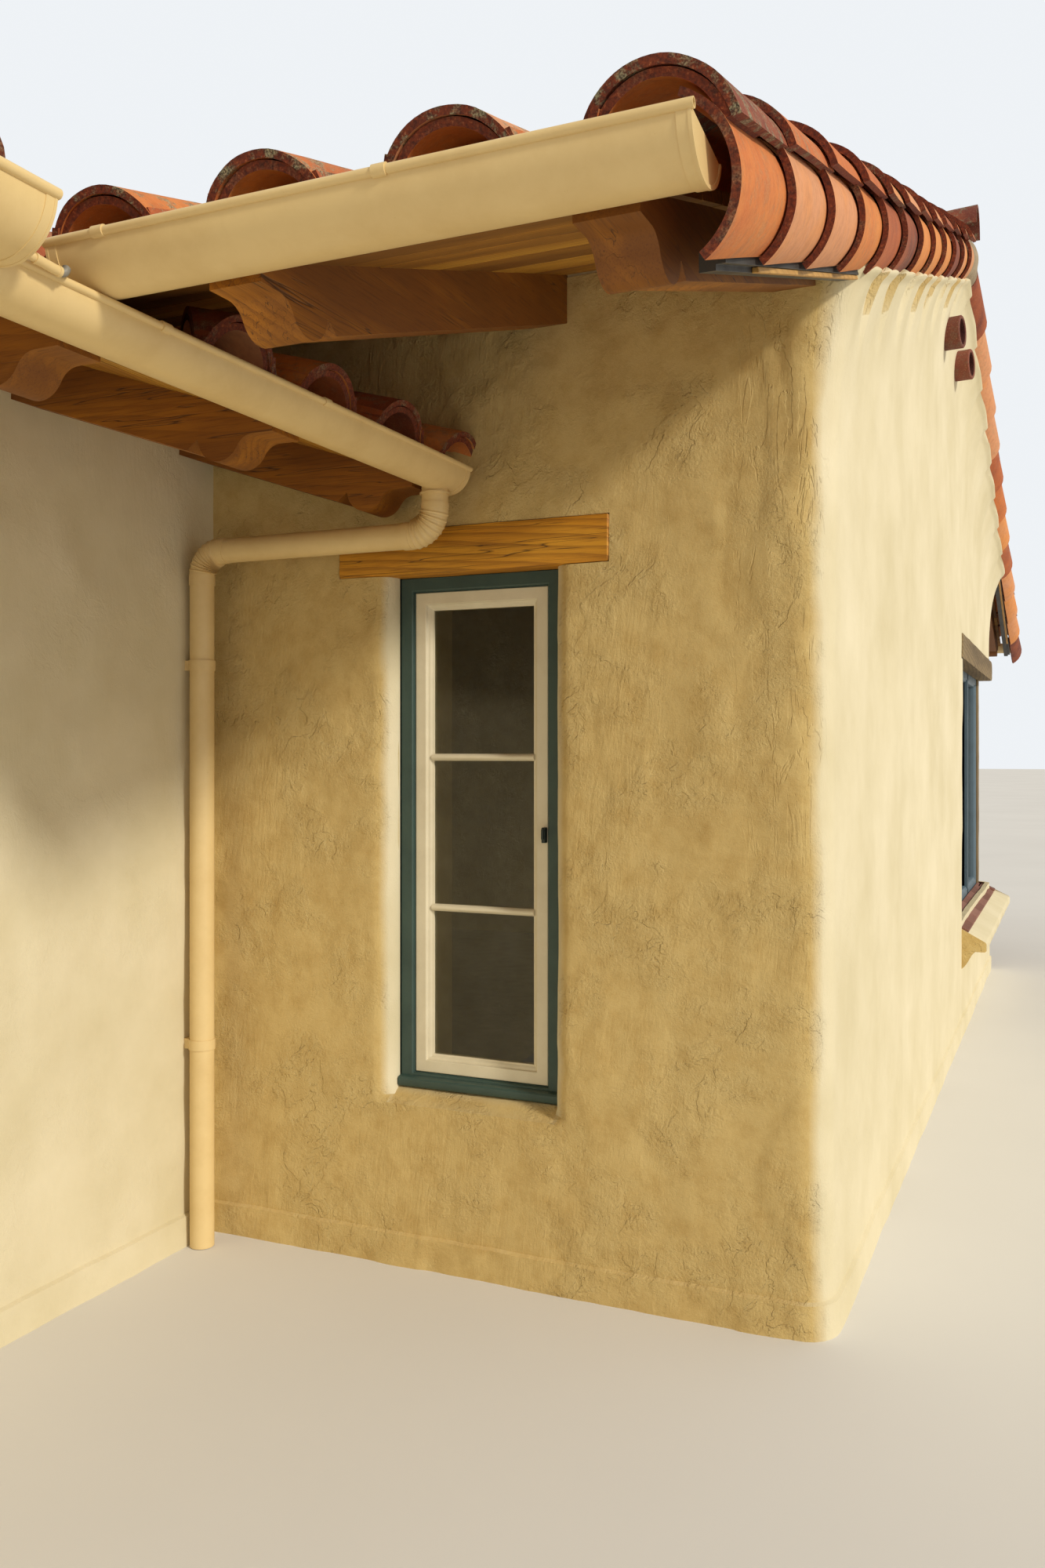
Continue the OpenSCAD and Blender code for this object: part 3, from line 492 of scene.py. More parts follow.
def paint_finish(name, tone, worn, rough=0.42, dirt=0.25, relief=0.12):
    """Paint with faint brush relief, a little grime and wear."""
    f = Finish(name, rough)
    grime = f.noise(6.0, 6.0, 0.65)
    colour = f.mix(f.ramp(grime, (0.42, 0.0), (0.78, dirt)), paint(tone), paint(worn))
    colour = f.mix(f.ramp(f.noise(85.0, 5.0, 0.7), (0.70, 0.0), (0.76, 0.6)), colour, paint(worn))
    normal = f.bump(f.noise(160.0, 3.0, 0.6), relief, 0.0008)
    normal = f.bump(f.noise(4.0, 3.0, 0.5), relief * 2, 0.004, normal)
    return f.done(colour, normal, f.ramp(grime, (0.3, rough * 0.8), (0.7, min(1.0, rough * 1.35))))


def glass_finish():
    """Old window glass: faintly smeared, with a slight wave."""
    f = Finish("pane", 0.02, Transmission_Weight=1.0, IOR=1.45)
    colour = f.ramp(f.noise(7.0, 3.0, 0.5), (0.3, "c4bda2"), (0.7, "ded8c4"))
    dull = f.ramp(f.noise(60.0, 4.0), (0.5, 0.01), (0.8, 0.06))
    return f.done(colour, f.bump(f.noise(2.2, 2.0, 0.5), 0.02, 0.01), dull)


def woods(name, tones, axes, **more):
    """A stained timber for each direction that its grain runs in."""
    return {axis: wood_finish(name + "_wood_" + axis, axis, tones, **more) for axis in axes}


# The golden main tones are partly painted warm light on the front walls; the paler side tones are painted
# light
STUCCO = stucco_finish("stucco", "dcc386", "cbad6c", "b28e4c", painted_light_side_tones=("e5d9b8", "d5c8a2"))
PLASTER = stucco_finish("plaster", "e3d4ae", "d4c192", "c0a773", 0.5)
# The darkest stop also paints the shade on the first cap tile of each ridge run
CLAY = clay_finish("clay", [
    (0.0, "6b2f22"), (0.20, "b05a2e"), (0.42, "cc7336"), (0.66, "e08f45"), (0.86, "d79568"),
], ["4c1d0f", "7e3618", "aa623a"], ["39392c", "a8a884"])
VENT_CLAY = clay_finish("vent_clay", [
    (0.1, "5d2c22"), (0.5, "753c2d"), (0.9, "8a4a37"),
], ["3d1712", "5b2a1f", "7c4534"], ["39392c", "8b8b70"])
SILL_CLAY = clay_finish("sill_clay", [
    (0.1, "6b4034"), (0.5, "7e5144"), (0.9, "8d6154"),
], ["5b372c", "6e483b", "836050"], ["6d5a4c", "8d7a6c"])
RAFTER_WOOD = woods("rafter", ["7c480a", "bb781a", "dfa02e"], "xy", knots=False)
BOARD_WOOD = woods("board", ["7c4e0e", "ae761c", "cf9a34"], "xy")
LINTEL_WOOD = woods("lintel", ["8a540a", "ca881a", "e2a832"], "xy", grain=1.4)
WEATHERED_WOOD = woods("weathered", ["5c4a30", "8a7450", "a68f66"], "yz", rough=0.8, grain=1.5)
DOOR_WOOD = wood_finish("door_wood", "z", ["3f2410", "6a3f1c", "8a5a2c"])
# Painted light: the pale strip under the rake band stands for the lit foot of that face
PAINTED_LIGHT_STRIP_WOOD = wood_finish("strip_wood_painted_light", "y", ["a87c3c", "c99a52", "dbb06a"], knots=False)
FRAME_PAINT = paint_finish("frame_paint", "3a5049", "283833", 0.45, 0.5)
CORNER_PAINT = paint_finish("corner_paint", "566a76", "3d4a52", 0.45, 0.4)
SASH_PAINT = paint_finish("sash_paint", "e4d9bb", "b3a27c", 0.40, 0.35)
GUTTER_PAINT = paint_finish("gutter_paint", "e4c88e", "bf9a58", 0.38, 0.35, 0.06)
PIPE_METAL = paint_finish("thin_pipe", "8f897c", "5f5a50", 0.45, 0.5, 0.1)
LATCH_PAINT = paint_finish("latch_paint", "23302c", "101512", 0.4, 0.4)
# Painted shade: the dark rake band stands for the shade under the rake tiles
PAINTED_SHADE_BAND = paint_finish("rake_band_painted_shade", "3a3733", "1f1d1b", 0.5, 0.6)
MORTAR = stucco_finish("mortar", "b7a58a", "9c8a70", "7d6c55", 1.4)
SLAB = stucco_finish("slab", "a39f98", "8f8b84", "7c7872", 0.4)
GLASS = glass_finish()


# The camera's fit to the photo: a level lens on a 36 mm high picture, at eye height
CAMERA_PLACE = (4.603, -3.220, 1.50)
CAMERA_TURN = 24
LENS = 28.8
PICTURE_H = 36.0
HORIZON_SHIFT = -0.02

# The studio: the sun's direction, width and colour, and the world as it lights and as it shows
SUN_FROM = (0.85, -0.31, 0.46)
SUN_ENERGY = 2.2
SUN_ANGLE = math.radians(7)
SUN_COLOUR = (1.0, 0.955, 0.865)
SKY_LIGHT = ((1.0, 0.965, 0.90, 1.0), 0.62)
SKY_SHOWN = ((0.86, 0.89, 0.92, 1.0), 1.0)
FLOOR_HALF = 120.0


def camera():
    data = bpy.data.cameras.new("camera")
    data.lens = LENS
    data.sensor_fit = "VERTICAL"
    data.sensor_height = PICTURE_H
    data.shift_y = HORIZON_SHIFT
    data.clip_end = 500
    eye = show("camera", data)
    eye.location = CAMERA_PLACE
    eye.rotation_euler = (math.radians(90), 0, math.radians(CAMERA_TURN))
    bpy.context.scene.camera = eye


def studio():
    """A pale floor, a pale world that reads as white behind the house, and one broad warm light."""
    mesh = bpy.data.meshes.new("floor")
    square = [(x * FLOOR_HALF, y * FLOOR_HALF, 0) for x, y in ((-1, -1), (1, -1), (1, 1), (-1, 1))]
    mesh.from_pydata(square, [], [(0, 1, 2, 3)])
    f = Finish("studio_floor", 0.9)
    f.put(f.shader.inputs["Base Color"], f.ramp(f.noise(0.4), (0.3, "dddbd7"), (0.7, "e3e1dd")))
    mesh.materials.append(f.material)
    show("floor", mesh)

    world = bpy.data.worlds.new("studio")
    bpy.context.scene.world = world
    world.use_nodes = True
    tree = world.node_tree
    both = tree.nodes.new("ShaderNodeMixShader")
    path = tree.nodes.new("ShaderNodeLightPath")
    seen = tree.nodes.new("ShaderNodeMath")
    seen.operation = "MAXIMUM"
    for i, ray in enumerate(("Is Camera Ray", "Is Transmission Ray")):
        tree.links.new(path.outputs[ray], seen.inputs[i])
    tree.links.new(seen.outputs[0], both.inputs[0])
    backs = (tree.nodes["Background"], tree.nodes.new("ShaderNodeBackground"))
    for i, (back, (colour, strength)) in enumerate(zip(backs, (SKY_LIGHT, SKY_SHOWN))):
        back.inputs["Color"].default_value = colour
        back.inputs["Strength"].default_value = strength
        tree.links.new(back.outputs[0], both.inputs[1 + i])
    tree.links.new(both.outputs[0], tree.nodes["World Output"].inputs["Surface"])

    lamp = bpy.data.lights.new("key", "SUN")
    lamp.energy = SUN_ENERGY
    lamp.angle = SUN_ANGLE
    lamp.color = SUN_COLOUR
    show("key", lamp).rotation_euler = Vector(SUN_FROM).to_track_quat("Z", "Y").to_euler()


# Stucco coats over the walls. A coat is a grid of stations along the walls in plan and heights
SPLIT_Z = 2.36
TOP_ROWS = 56
TOP_CROWDING = 1.9
ROW_STEP = 0.022
COAT_MIN = 0.0015
EDGE_DEPTH = 0.03
RIM_Z = 2.708
GABLE_COAT_TOP = 2.744
EAVE_COAT_TOP = 2.812
WING_RIM_DROP = RANGE_TOP - RIM_Z
RAKE_PITCH = 0.3693
FOOT_Z = 0.093
FOOT_PROUD = 0.011
VENT_R = 0.0715
VENT_APART = 0.26
VENT_Z = RANGE_TOP + SLOPE * RIDGE_Y - 0.433
VENT_CLEAR = 0.055
VENT_EDGE = 0.064


def smooth(value, low, high):
    t = min(1.0, max(0.0, (value - low) / (high - low)))
    return t * t * (3 - 2 * t)


def plaster_height(p):
    """How far the hand-trowelled coat stands off the wall's face: lumps, pats, ledges where a pass ended, and
    upright folds beside the front corners. The gables are smoother."""
    lumps = noise.fractal(p * 1.6, 0.9, 2.2, 3)
    if abs(p.x) > GABLE_X - 0.03:
        return max(COAT_MIN, 0.0070 + 0.0060 * lumps)
    pats = noise.fractal(Vector((p.x * 6.0, p.y * 6.0, p.z * 4.2)), 0.8, 2.1, 3)
    passes = ripple(p.x * 5.2 + 0.25 * p.z, p.y * 5.2, p.z * 3.4 + 3.7)
    rough = smooth(ripple(p.x * 1.9 + 9.0, p.y * 1.9, p.z * 1.5), -0.05, 0.22)
    height = 0.0070 + 0.0065 * lumps + 0.0048 * pats + 0.0042 * rough * smooth(passes, 0.02, 0.11)
    edge = smooth(abs(p.x), GABLE_X - 0.26, GABLE_X - 0.14) * smooth(p.z, 1.2, 2.1)
    if edge > 0:
        fold = ripple(p.x * 30.0 + 0.9 * lumps, p.y * 4.0, p.z * 4.0)
        height += 0.0030 * edge * smooth(fold, -0.03, 0.03)
    return max(COAT_MIN, height)


def flare(below, phase, depth=1.0):
    """How far the coat swells out under the rake tiles. It follows each tapered tile inward up to the joint,
    steps out again under the next one in a sharp groove that fades downward, and laps over the tiles' lower
    edges."""
    if below > 0.7:
        return 0.0
    share = phase - math.floor(phase)
    under = max(below, 0.0)
    swell = 0.088 * math.exp(-((under / 0.15) ** 1.1))
    reach = max(0.0, 1 - under / 0.22)
    inward = smooth(share, 0.35, 0.97) if share < 0.97 else 1 - smooth(share, 0.97, 1.0)
    groove = 0.034 * inward * reach
    pat = 0.005 * math.sin(math.pi * share) * reach
    lip = 0.014 - 0.006 * share + 0.004 * ripple(phase * 2.3, 5.0, 1.0)
    turn_in = 0.030 * smooth(-below - lip, -0.010, 0.016)
    over = 0.012 * smooth(-below, -0.030, 0.0)
    return swell + depth * (pat - groove * (1.0 if below > 0 else 0.55)) + over - turn_in


class Station:
    """A place on the walls' outline in plan: the way it faces, its coat's top and its place on its wall."""

    def __init__(self, x, y, nx, ny, top, wall, u=0.0):
        self.x, self.y, self.nx, self.ny = x, y, nx, ny
        self.top, self.wall, self.u = top, wall, u


def arc_stations(cx, cy, turn, top, wall, cuts=6):
    """Stations round a corner, from facing turn degrees to a quarter further; top gives a share's height."""
    places = []
    for i in range(1, cuts):
        a = math.radians(turn + 90 * i / cuts)
        nx, ny = math.cos(a), math.sin(a)
        places.append(Station(cx + CORNER_R * nx, cy + CORNER_R * ny, nx, ny, top(i / cuts), wall))
    return places


def window_edges(u):
    """Places along a wall where a window's rounded jambs bend, and its lintel's ends."""
    half = WINDOW_W / 2
    bends = [half + REVEAL_R * (1 - math.sin(math.radians(a))) for a in range(0, 91, 15)]
    return [u + side * b for side in (-1, 1) for b in bends + [half + LINTEL_REACH]]


def window_holes(wall, u, half, low, high):
    """A window or door in a coat, and the lintel over it, each as (wall, u0, u1, z0, z1)."""
    reach = half + LINTEL_REACH
    return [(wall, u - half, u + half, low, high), (wall, u - reach, u + reach, high, high + LINTEL_H)]


def reveal_depth(du, dz):
    """Depth of the face beside or below a window: a rounded jamb, and a sloping sill."""
    side = max(du / REVEAL_R, 0.0)
    under = max(dz / SILL_DROP, 0.0)
    t = math.hypot(side, under)
    if t >= 1:
        return 0.0
    jamb = REVEAL_R * (1 - math.sqrt(max(0.0, 1 - (1 - t) ** 2)))
    share = math.atan2(under, max(side, 1e-6)) / (math.pi / 2)
    return jamb * (1 - share) + REVEAL * (1 - t) * share


def coat_depth(station, z, windows):
    depth = 0.0
    for wall, u in windows:
        if wall == station.wall and z < HEAD_Z + 0.001:
            depth = max(depth, reveal_depth(abs(station.u - u) - WINDOW_W / 2, SILL_Z - z))
    return depth


def opening(a, b, z, holes):
    """What the coat is open for between two stations at a height, if anything."""
    u = (a.u + b.u) / 2
    if a.wall != b.wall:
        u = b.u if b.wall in ("gable", "rear") else a.u
    walls = {a.wall, b.wall}
    if any(wall in walls and u0 < u < u1 and z0 < z < z1 for wall, u0, u1, z0, z1 in holes):
        return "hole"
    y = abs(a.y + b.y - 2 * RIDGE_Y) / 2 - VENT_APART
    return "vent" if "gable" in walls and math.hypot(y, z - VENT_Z) < VENT_CLEAR else None


def coat(name, stations, windows, holes, flares, mirror):
    """A coat along the stations, open at the holes, with its open edges turned in to the wall."""
    sign = -1 if mirror else 1
    levels = [0.0, FOOT_Z - 0.003, FOOT_Z + 0.003, SPLIT_Z]
    levels += [SILL_Z - drop for drop in (SILL_DROP / 2, SILL_DROP, SILL_DROP + 0.01)]
    rows = fill(levels + [z for hole in holes for z in hole[3:5]], ROW_STEP)
    shares = [1 - (1 - j / TOP_ROWS) ** TOP_CROWDING for j in range(1, TOP_ROWS + 1)]
    count = len(rows) + TOP_ROWS
    points = []
    for st in stations:
        for z in rows + [SPLIT_Z + (st.top - SPLIT_Z) * share for share in shares]:
            off = plaster_height(Vector((sign * st.x, st.y, z))) + flares(st, z)
            off = max(COAT_MIN, off + (FOOT_PROUD if z < FOOT_Z else 0.0)) - coat_depth(st, z, windows)
            points.append(Vector((sign * (st.x + st.nx * off), st.y + st.ny * off, z)))

    kinds = {}
    for i in range(len(stations) - 1):
        for k in range(i * count, (i + 1) * count - 1):
            kinds[k] = opening(stations[i], stations[i + 1], (points[k].z + points[k + 1].z) / 2, holes)
    quads = []
    for k, kind in kinds.items():
        corners = [k, k + count, k + count + 1, k + 1]
        if kind == "vent":
            for p in (points[c] for c in corners):
                dy = p.y - RIDGE_Y - math.copysign(VENT_APART, p.y - RIDGE_Y)
                dz = p.z - VENT_Z
                pull = VENT_EDGE / (math.hypot(dy, dz) or 1.0) - 1
                p.y += dy * pull
                p.z += dz * pull
        elif not kind:
            quads.append(corners[::sign])

    edges = {}
    for quad in quads:
        for a, b in zip(quad, quad[1:] + quad[:1]):
            edge = min(a, b), max(a, b)
            edges[edge] = None if edge in edges else (a, b)
    last = (len(stations) - 1) * count
    inner, rim = {}, []
    for edge in edges.values():
        if edge and max(edge) >= count and min(edge) < last:
            for k in edge:
                inner.setdefault(k, len(points) + len(inner))
            rim.append([edge[1], edge[0], inner[edge[0]], inner[edge[1]]])
    for k in inner:
        st = stations[k // count]
        points.append(points[k] - Vector((sign * st.nx, st.ny, 0)) * EDGE_DEPTH)
    used = sorted({k for face in quads + rim for k in face})
    place = {k: n for n, k in enumerate(used)}
    form = Form()
    form.add([points[k] for k in used], [[place[k] for k in face] for face in quads + rim])
    make(name, form, STUCCO, sharp=50, solid=False)


def range_coat(side, mirror):
    """The coat of the main range from the inside corner, round the gable, to the middle of the rear wall."""
    r = CORNER_R
    side_start, back_start = REAR_Y - CORNER_SIDE, GABLE_X - CORNER_BACK
    stations = []
    for x in fill([WING_X - 0.02, GABLE_X - r] + window_edges(FRONT_WINDOW_X), 0.0145):
        stations.append(Station(x, 0.0, 0, -1, EAVE_COAT_TOP, "front", x))
    ease = lambda t: EAVE_COAT_TOP + (GABLE_COAT_TOP - EAVE_COAT_TOP) * t
    stations += arc_stations(GABLE_X - r, r, -90, ease, "turn")
    front_half = fill([r, RIDGE_Y], 0.0135)
    rear_half = fill([RIDGE_Y, side_start - CORNER_REACH, side_start, REAR_Y - r], 0.026)
    for y in front_half + rear_half[1:]:
        top = GABLE_COAT_TOP + SLOPE * min(y, REAR_Y - y)
        stations.append(Station(GABLE_X, y, 1, 0, top, "gable", y))
    stations += arc_stations(GABLE_X - r, REAR_Y - r, 0, lambda t: ease(1 - t), "rear_turn")
    rear = [0.0, back_start - CORNER_REACH, back_start, GABLE_X - r] + window_edges(REAR_WINDOW_X)
    for x in reversed(fill(rear, 0.05)):
        stations.append(Station(x, REAR_Y, 0, 1, EAVE_COAT_TOP, "rear", x))

    windows = [("front", FRONT_WINDOW_X), ("rear", REAR_WINDOW_X)]
    holes = []
    for wall, u in windows:
        holes += window_holes(wall, u, WINDOW_W / 2, SILL_Z, HEAD_Z)
    for low, high, more in (
        (CORNER_SILL, CORNER_HEAD, 0.0),
        (CORNER_HEAD, CORNER_HEAD + LINTEL_H, CORNER_REACH),
    ):
        holes.append(("gable", side_start - more, REAR_Y, low, high))
        holes.append(("rear_turn", -1.0, 1.0, low, high))
        holes.append(("rear", back_start - more, GABLE_X, low, high))

    def flares(st, z):
        side_part = 0.6 * flare(RIM_Z - z + 0.02, 0.5)
        if st.wall in ("front", "rear"):
            near = max(0.0, 1 - (GABLE_X - CORNER_R - st.u) / 0.16)
            return near * near * side_part
        share = st.nx if st.wall in ("turn", "rear_turn") else 1.0
        y = min(st.y, REAR_Y - st.y)
        depth = 1.0 if st.y < RIDGE_Y else 0.6
        full = flare(RIM_Z + SLOPE * y - z, (y + RANGE_EAVE + TILE_OVER) / RAKE_PITCH, depth)
        return full * share + side_part * (1 - share)

    coat("range_coat_" + side, stations, windows, holes, flares, mirror)


def wing_coat(side, mirror):
    """The coat of the wing, from the middle of its front to the inside corner."""
    r = CORNER_R
    front_top = OWN_TOP - 0.032
    side_drop = 0.010
    stations = []
    for x in fill([0.0, DOOR_HALF, DOOR_HALF + LINTEL_REACH, WING_X - r], 0.032):
        stations.append(Station(x, WING_Y, 0, -1, front_top + SLOPE * (WING_X - x), "wing_front", x))
    stations += arc_stations(WING_X - r, WING_Y + r, -90, lambda t: front_top, "wing_turn")
    side_ys = [WING_Y + r, LINK_Y - 0.001, LINK_Y + 0.001, 0.02] + window_edges(WING_WINDOW_Y)
    for y in fill(side_ys, 0.026):
        top = (OWN_TOP if y < LINK_Y else LINK_TOP) - side_drop
        stations.append(Station(WING_X, y, 1, 0, top, "wing_side", y))
    holes = window_holes("wing_side", WING_WINDOW_Y, WINDOW_W / 2, SILL_Z, HEAD_Z)
    holes += window_holes("wing_front", 0.0, DOOR_HALF, DOOR_FOOT, DOOR_HEAD)

    def flares(st, z):
        if st.wall == "wing_side":
            return 0.0
        inward = WING_X - st.x
        rim = OWN_TOP - WING_RIM_DROP + SLOPE * inward
        return -st.ny * flare(rim - z, (inward + WING_EAVE + TILE_OVER) / RAKE_PITCH)

    coat("wing_coat_" + side, stations, [("wing_side", WING_WINDOW_Y)], holes, flares, mirror)


# Roof slopes
class Slope:
    """A roof plane. Along runs level beside the eave, up runs up the slope from over the wall's face, and
    lift is square to the boards' top."""

    def __init__(self, kind, top, eave, run, side=1):
        self.kind, self.top, self.eave, self.run, self.side = kind, top, eave, run, side
        self.foot = -(eave + TILE_OVER) / COS
        self.crown = (run - CAP_R - 0.001) / COS

    def plan(self, along, depth):
        if self.kind == "front":
            return along, depth
        if self.kind == "rear":
            return along, REAR_Y - depth
        return self.side * (WING_X - depth), along

    def at(self, along, up, lift):
        x, y = self.plan(along, up * COS - lift * SIN)
        return Vector((x, y, self.top + DECK + up * SIN + lift * COS))

    def level(self, along, out, z):
        """A point by its distance out from the wall's face and its height."""
        x, y = self.plan(along, -out)
        return Vector((x, y, z))

    def courses(self):
        """The starts and the bare length of the courses of tiles."""
        count = max(1, round((self.crown - self.foot) / EXPOSURE))
        bare = (self.crown - self.foot) / count
        return [self.foot + i * bare for i in range(count)], bare


FRONT = Slope("front", RANGE_TOP, RANGE_EAVE, RIDGE_Y)
REAR = Slope("rear", RANGE_TOP, RANGE_EAVE, RIDGE_Y)
LINKS = [Slope("wing", LINK_TOP, LINK_EAVE, WING_X, side) for side in (1, -1)]
OWNS = [Slope("wing", OWN_TOP, WING_EAVE, WING_X, side) for side in (1, -1)]

# Bays of tiles across a slope, and the angle at which the covers over the rake tiles are cut off
RANGE_BAYS = 24
OWN_BAYS = 9
OWN_INSET = 0.147
LINK_BAY = 0.335
LINK_FIRST = -0.067
UNDER_SUM = 1.79
FINE_X = 2.9
END_COVER_FROM = {"front": math.radians(13), "rear": math.radians(45), "wing": 0.0}
PAN_FROM = math.radians(12)
STARTER_R = TILE_R - TILE_T - 0.0017
MIDDLE = 0.06


def barrel(form, slope, along, up, length, radii, lift, turns, tint, fine=False, sway=0.0):
    """A tapered barrel tile on a slope, by its radii at both ends and the turns that it spans across."""
    segs, rings = (26, 5) if fine else (10, 1)
    seed = tint[0] * 50
    sheets = []
    for inset in (0.0, TILE_T):
        sheets.append([])
        for j in range(rings + 1):
            t = j / rings
            middle = along + sway * (t - 0.5)
            row = []
            for i in range(segs + 1):
                a = turns[0] + (turns[1] - turns[0]) * i / segs
                r = radii[0] + (radii[1] - radii[0]) * t - inset
                if fine:
                    r += 0.0016 * ripple(seed + 2.2 * a, 3 * t + seed, inset * 40)
                row.append(slope.at(middle + r * math.cos(a), up + length * t, lift + r * math.sin(a)))
            sheets[-1].append(row)
    form.shell(*sheets, tint)


def cover_and_pans(form, slope, covers, pans, rng, keep=None, plane=None, fine_from=99.0):
    """Courses of covers and pans. keep(x, y) says how far a plan point is inside the part of the slope that
    is tiled, and tiles on its edge are cut by the plane."""
    starts, bare = slope.courses()
    trim = END_COVER_FROM[slope.kind]
    edge = Form()
    for row, up in enumerate(starts):
        length = min(TILE_LEN, slope.crown - up)
        for along, is_cover in [(c, True) for c in covers] + [(p, False) for p in pans]:
            target = form
            if keep:
                ends = [(along + d, (up + t * length) * COS) for d in (-TILE_R, TILE_R) for t in (0, 1)]
                inside = [keep(*slope.plan(*end)) for end in ends]
                if max(inside) <= 0:
                    continue
                target = form if min(inside) >= 0 else edge
            if row == 0:
                old = 0.75 if slope.kind == "front" else 0.35
            else:
                old = rng.choice([0.0, 0.1, 0.25, 0.5])
            tint = (rng.random(), 0.0, old)
            place = along + rng.uniform(-0.004, 0.004)
            slip = 0.012 if row else 0.004
            start = up + rng.uniform(-slip, slip)
            sway = rng.uniform(-0.008, 0.008)
            if not is_cover:
                radii = (PAN_R - TAPER * length / bare, PAN_R)
                turns = (PAN_FROM - math.pi, -PAN_FROM)
                barrel(target, slope, place, start, length, radii, PAN_R + 0.001, turns, tint)
                continue
            lift = COVER_LIFT + rng.uniform(-0.002, 0.003)
            radii = (TILE_R, TILE_R - TAPER * length / bare)
            fine = row == 0 and along > fine_from or along > fine_from + 0.9
            low = trim if along > RANGE_END - 0.01 else 0.0
            high = math.pi - (trim if along < 0.01 - RANGE_END else 0.0)
            barrel(target, slope, place, start, length, radii, lift, (low, high), tint, fine, sway)
            if row == 0:
                tint = (rng.random(), 0.0, 0.1)
                radii = (STARTER_R, STARTER_R - 0.008)
                turns = (low + 0.04, high - 0.04)
                barrel(target, slope, place, start + 0.004, 0.22, radii, lift - 0.001, turns, tint, fine)
    if plane:
        edge = cut(edge, *plane, (0.5, 1.0, 0.0))
    form.merge(edge)


def spread(first, last, bays):
    step = (last - first) / bays
    covers = [first + i * step for i in range(bays + 1)]
    return covers, [a + step / 2 for a in covers[:-1]]


def roof_tiles():
    """Covers and pans of every slope, cut to the valleys between the front slope and the link's roof."""
    rng = random.Random(7)
    apex = Vector((0, VALLEY_SUM, 0))
    columns = spread(-RANGE_END, RANGE_END, RANGE_BAYS)
    above = lambda x, y: abs(x) + y - VALLEY_SUM
    front = Form()
    for s in (-1, 1, 0):
        parts = [[a for a in some if (a * s > MIDDLE if s else abs(a) <= MIDDLE)] for some in columns]
        cover_and_pans(front, FRONT, *parts, rng, above, (apex, Vector((-s, -1, 0))), FINE_X)
    make("front_tile_courses", front, CLAY, ["front_tiles"])

    rear = Form()
    cover_and_pans(rear, REAR, *columns, rng)
    make("rear_tile_courses", rear, CLAY, ["rear_tiles"])

    link = Form()
    covers = [LINK_FIRST - i * LINK_BAY for i in range(-4, 5)]
    pans = [c - LINK_BAY / 2 for c in covers]
    below = [c for c in covers if -1.2 < c < 0], [p for p in pans if -1.3 < p < -0.1]
    under = lambda x, y: abs(x) + y - UNDER_SUM
    for slope in LINKS:
        s = slope.side
        cover_and_pans(link, slope, covers, pans, rng, lambda x, y: -above(x, y), (apex, Vector((s, 1, 0))))
        under_plane = (Vector((0, UNDER_SUM, 0)), Vector((-s, -1, 0)))
        cover_and_pans(link, slope, *below, rng, under, under_plane, -9.0)
    make("link_tile_courses", link, CLAY, ["link_tiles"])

    wing = Form()
    for slope in OWNS:
        cover_and_pans(wing, slope, *spread(WING_Y - RAKE_OUT, LINK_Y - OWN_INSET, OWN_BAYS), rng)
    make("wing_tile_courses", wing, CLAY, ["wing_tiles"])


def rake_row(form, slope, along, outward, rng, fine=False):
    """Lapped barrel tiles turned on their side over a gable edge; outward is the sign of the free side."""
    starts, bare = slope.courses()
    turns = (-RAKE_UNDER, RAKE_OVER) if outward > 0 else (math.pi - RAKE_OVER, math.pi + RAKE_UNDER)
    for i, up in enumerate(starts):
        length = min(TILE_LEN, slope.crown - up)
        tint = (rng.random(), 0.0, rng.choice([0.0, 0.1, 0.2]))
        radii = (RAKE_R, RAKE_R - TAPER * length / bare)
        start = up + (rng.uniform(-0.008, 0.008) if i else 0.0)
        barrel(form, slope, along, start, length, radii, -RAKE_DROP, turns, tint, fine)


def rakes():
    rng = random.Random(11)
    form = Form()
    for slope in (FRONT, REAR):
        for outward in (1, -1):
            fine = slope is FRONT and outward > 0
            rake_row(form, slope, outward * (GABLE_X + RAKE_AXIS), outward, rng, fine)
    make("rake_tile_row", form, CLAY, ["rake_tiles"])
    form = Form()
    for slope in OWNS:
        rake_row(form, slope, WING_Y - RAKE_AXIS, -1, rng)
    make("wing_rake_tile_row", form, CLAY, ["wing_rake_tiles"])


# Ridges: heights of the mortar's rim on the range, the link and the wing's own roof
RANGE_RIM = RANGE_TOP + DECK + SLOPE * RIDGE_Y + CAP_Z
LINK_RIM = LINK_TOP + DECK + SLOPE * WING_X + CAP_Z
OWN_RIM = LINK_RIM + 0.11
OVER_X = lambda along, across, z: Vector((along, RIDGE_Y + across, z))
OVER_Y = lambda along, across, z: Vector((across, along, z))


def cap_run(form, put, start, length, rim, rng, way=1, segs=14):
    """Lapped cap tiles along a ridge from a start, way being the sign of the way that they run."""
    count = max(1, round(length / EXPOSURE))
    bare = length / count
    arch = fan(0, math.pi, segs)
    for i in range(count):
        # Painted shade: the first cap of each run gets share 0.0, the darkest clay tone, for the shade on the
        # run's end; it also gets heavier weathering
        tint = (rng.random() if i else 0.0, 0.0, rng.choice([0.1, 0.3, 0.5]) if i else 0.6)
        tilt = rng.uniform(-0.003, 0.003)
        low, high = i * bare, min(length, i * bare + TILE_LEN)
        ends = ((low, CAP_R), (high, CAP_R - TAPER * (high - low) / bare))
        sheets = []
        for inset in (0.0, TILE_T):
            rows = [(start + way * along, r - inset) for along, r in ends]
            sheets.append([[put(a, r * c + tilt, rim + r * d + 0.001) for c, d in arch] for a, r in rows])
        form.shell(*sheets, tint)


